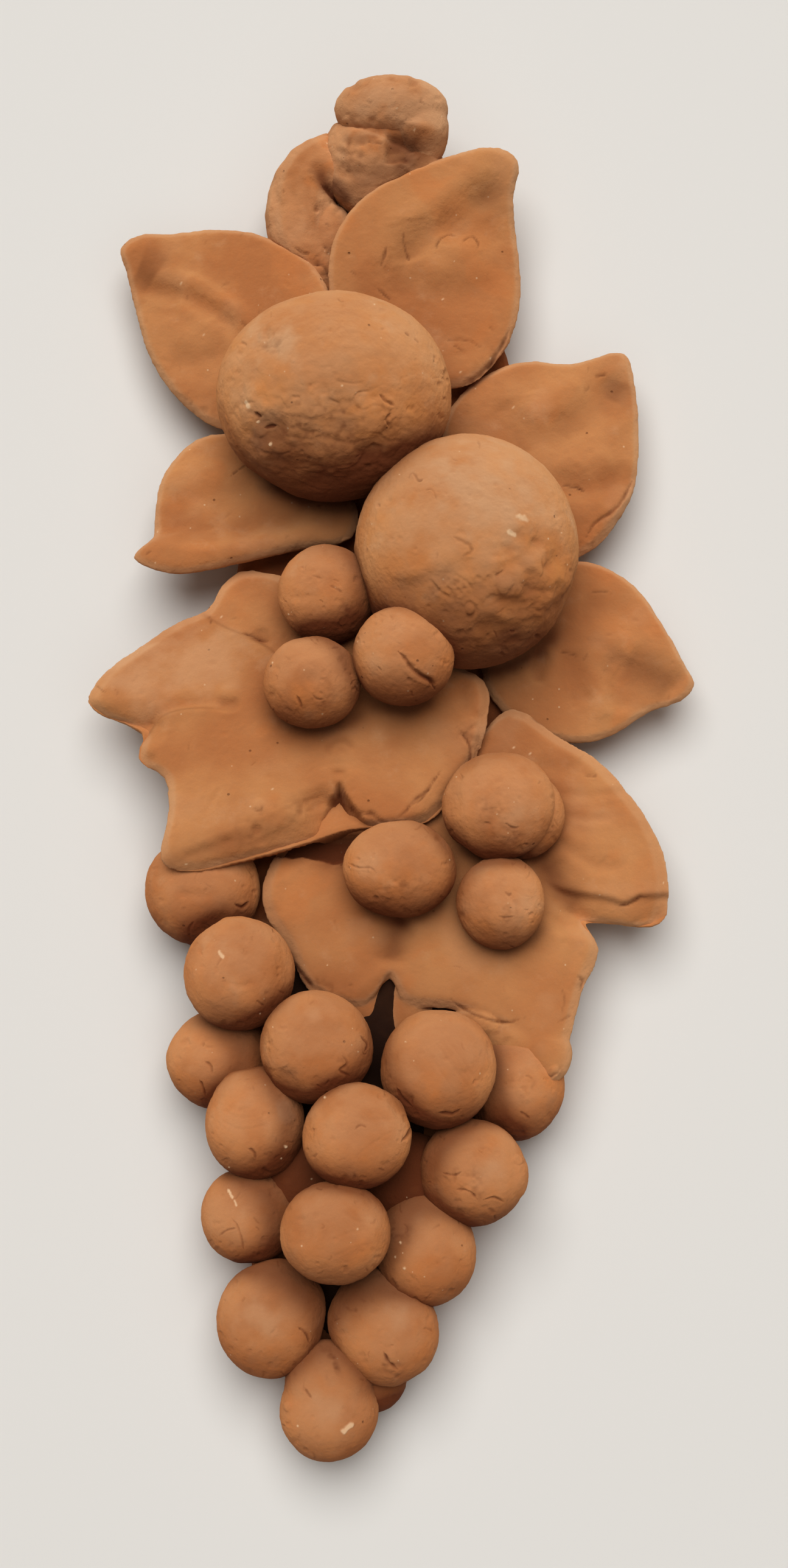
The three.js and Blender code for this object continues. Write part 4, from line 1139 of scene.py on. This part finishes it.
stemWave = 0.35                 # mm
stemStrokes = {                 # level in mm, the strokes, then the clay pushed on afterwards
    "stem_cap": (20, [
        ("bevel", 5.0, 3.4, [(-19, 175.5), (-14.5, 174), (-8, 173), (0, 173), (5, 172.4), (9, 171.6),
                             (16, 172.5)]),
        ("groove", 0.9, 0.8, [(-14.2, 175), (-13.6, 171.6), (-11.8, 169.6)]),
        ("ridge", 1.1, 0.7, [(-12.6, 174.4), (-12.3, 171.8), (-11, 170)]),
        ("groove", 0.8, 0.7, [(-11, 174.2), (-10.8, 171.6), (-10, 170)]),
        ("groove", 0.8, 0.9, [(-5.4, 174.8), (-5.8, 172.6), (-6.4, 170.6)]),
        ("groove", 0.7, 0.5, [(-1.6, 174.4), (-1.4, 172.4), (-2, 170.6)]),
        ("ridge", 1.0, 0.5, [(0.6, 173.8), (4.6, 172.4), (9, 171.4)]),
        ("lumpy", 5.0, 0.5, [(-9, 178), (0, 180), (8, 179)]),
        ("dent", 2.4, 1.2, [(-10.4, 183)]),
        ("dent", 2.0, 1.4, [(5, 184)]),
        ("crack", 0.4, 0.4, [(-7, 178.8), (-5.6, 178.4)]),
        ("crack", 0.4, 0.4, [(6.6, 178.6), (8, 178)]),
        ("hollow", 2.2, 2.2, [(-2.5, 170), (3, 170.6), (7.2, 170.4), (7.6, 166), (4, 161), (-3, 161)]),
        ("shade", 2.4, 0.45, [(-4, 169.6), (1, 169), (5.6, 168.4), (7.2, 165)]),
        ("dust", 5.0, 1.3, [(2, 174.8), (10, 174.6)]),
        ("dust", 7.0, 1.0, [(-6, 179), (8, 180)]),
    ], [((6.4, 167.4, 27), (7.0, 9.0, 9.0))]),
    "stem_branch": (20, [
        ("hollow", 2.4, 2.4, [(-2.5, 170), (3, 170.6), (7.2, 170.4), (7.6, 166), (4, 161), (-3, 161)]),
        ("shade", 4.0, 0.6, [(-3.3, 169.4), (1.8, 168), (5.6, 166.4), (4.6, 162.8), (-1.1, 161.6)]),
        ("shade", 1.6, 0.4, [(-14, 169), (-9, 168.8), (-3, 169.4)]),
        ("groove", 0.9, 0.5, [(-13.4, 167.6), (-10, 166.6), (-6.6, 168)]),
        ("groove", 0.9, 0.5, [(-15.4, 165.6), (-12, 164), (-8.6, 164.8)]),
        ("groove", 0.8, 0.4, [(-3.6, 168), (-3.2, 164.6), (-4.4, 161)]),
        ("groove", 0.8, 0.5, [(7.4, 170.4), (7, 167), (4.6, 163)]),
        ("crack", 0.5, 0.5, [(-7, 168), (-5, 167.2), (-2.6, 167.6)]),
        ("crack", 0.5, 0.5, [(-17, 165), (-16, 163.6)]),
        ("lumpy", 5.0, 0.7, [(-13, 165), (-8, 160), (-6, 156)]),
        ("torn", 4.0, 0.3, [(-14, 166), (-7, 162)]),
        ("groove", 1.4, 0.6, [(-16, 160.4), (-11, 158.8), (-6, 160)]),
        ("shade", 2.2, 0.8, [(-20, 162), (-18, 158), (-14, 154), (-10.6, 150)]),
        ("shade", 4.0, 0.4, [(-12, 155), (-4, 158), (3, 162)]),
    ], [
        ((-6.4, 159, 20.6), (10.8, 10, 9.2)),
        ((-2, 165, 25), (12.2, 6, 7.6)),
        ((4.5, 161, 21.6), (7.6, 8.6, 8.4)),
    ]),
    "stem_hook": (20, [
        ("groove", 1.8, 2.0, [(-20.6, 163), (-19.8, 160), (-18.6, 156.5), (-15.8, 153.4),
                              (-12, 149.8)]),
        ("crack", 0.9, 1.2, [(-18.8, 157), (-15.8, 153.2), (-12.4, 150)]),
        ("shade", 1.8, 0.7, [(-19.6, 162), (-18, 157), (-15, 153), (-11, 149)]),
        ("dent", 1.0, 1.0, [(-20, 149.2)]),
        ("crack", 0.5, 0.5, [(-17.8, 145.2), (-16.4, 144.6)]),
        ("groove", 0.9, 0.4, [(-31, 157), (-29.6, 150), (-30, 143)]),
        ("groove", 1.0, 0.4, [(-26, 155), (-24.6, 149), (-25, 143)]),
        ("crack", 0.4, 0.4, [(-28.6, 155), (-28, 153.6)]),
        ("ridge", 1.4, 0.7, [(-18.6, 153.6), (-16, 151.4), (-14.6, 148.6)]),
        ("lumpy", 6.0, 0.5, [(-28, 160), (-29, 150), (-24, 143)]),
        ("lumpy", 4.0, 0.6, [(-20, 148), (-18, 142)]),
        ("crack", 0.6, 0.7, [(-25.4, 139), (-23, 137.4), (-21, 137.2)]),
        ("torn", 3.2, 0.9, [(-20, 137), (-17.4, 134), (-17, 130)]),
        ("crack", 0.7, 0.8, [(-20.6, 134.4), (-18, 134), (-16.8, 131)]),
        ("crack", 0.5, 0.5, [(-18, 139.4), (-16.6, 137.6)]),
    ], [((-17.5, 144.5, 14), (6.5, 9.0, 8.0)), ((-20, 134, 13), (6.0, 6.0, 7.0))]),
}
for seed, (name, (level, strokes, added)) in enumerate(stemStrokes.items()):
    pressClay(name, "stem_clay", level, stemWave, strokes, 20 + seed, stemPress, added)
print("swag: stem shaped")

backPress = {
    "voxel": 0.8,           # mm
    "rubs": 4,
    "grow": 0.1,            # mm
    "lump": 0.30,           # mm
    "grain": 0.12,          # mm
    # the core is painted wholly in the near-black painted shade tone, the slab not at all
    "dark": {"back_slab": 0.0, "cluster_core": 1.0},
}
for seed, (name, dark) in enumerate(backPress["dark"].items()):
    mesh = softCopy(name, backPress["voxel"], backPress["rubs"], backPress["grow"])
    points = pointsOf(mesh)
    facing = normalsOf(mesh)
    bumps = backPress["lump"] * lumps(points, 9, seed, 2)
    bumps += backPress["grain"] * lumps(points, 2.4, seed + 4, 2)
    offTable = easeIn(points[:, 2], 0.2, 2)         # the underside stays flat
    setPoints(mesh, points + facing * bumps[:, None] * offTable[:, None])
    paint = np.zeros((len(points), 3))
    # painted shade laid all over the piece
    paint[:, 1] = dark
    finishPiece(name, mesh, "back_clay", paint)
print("swag: back pressed flat")
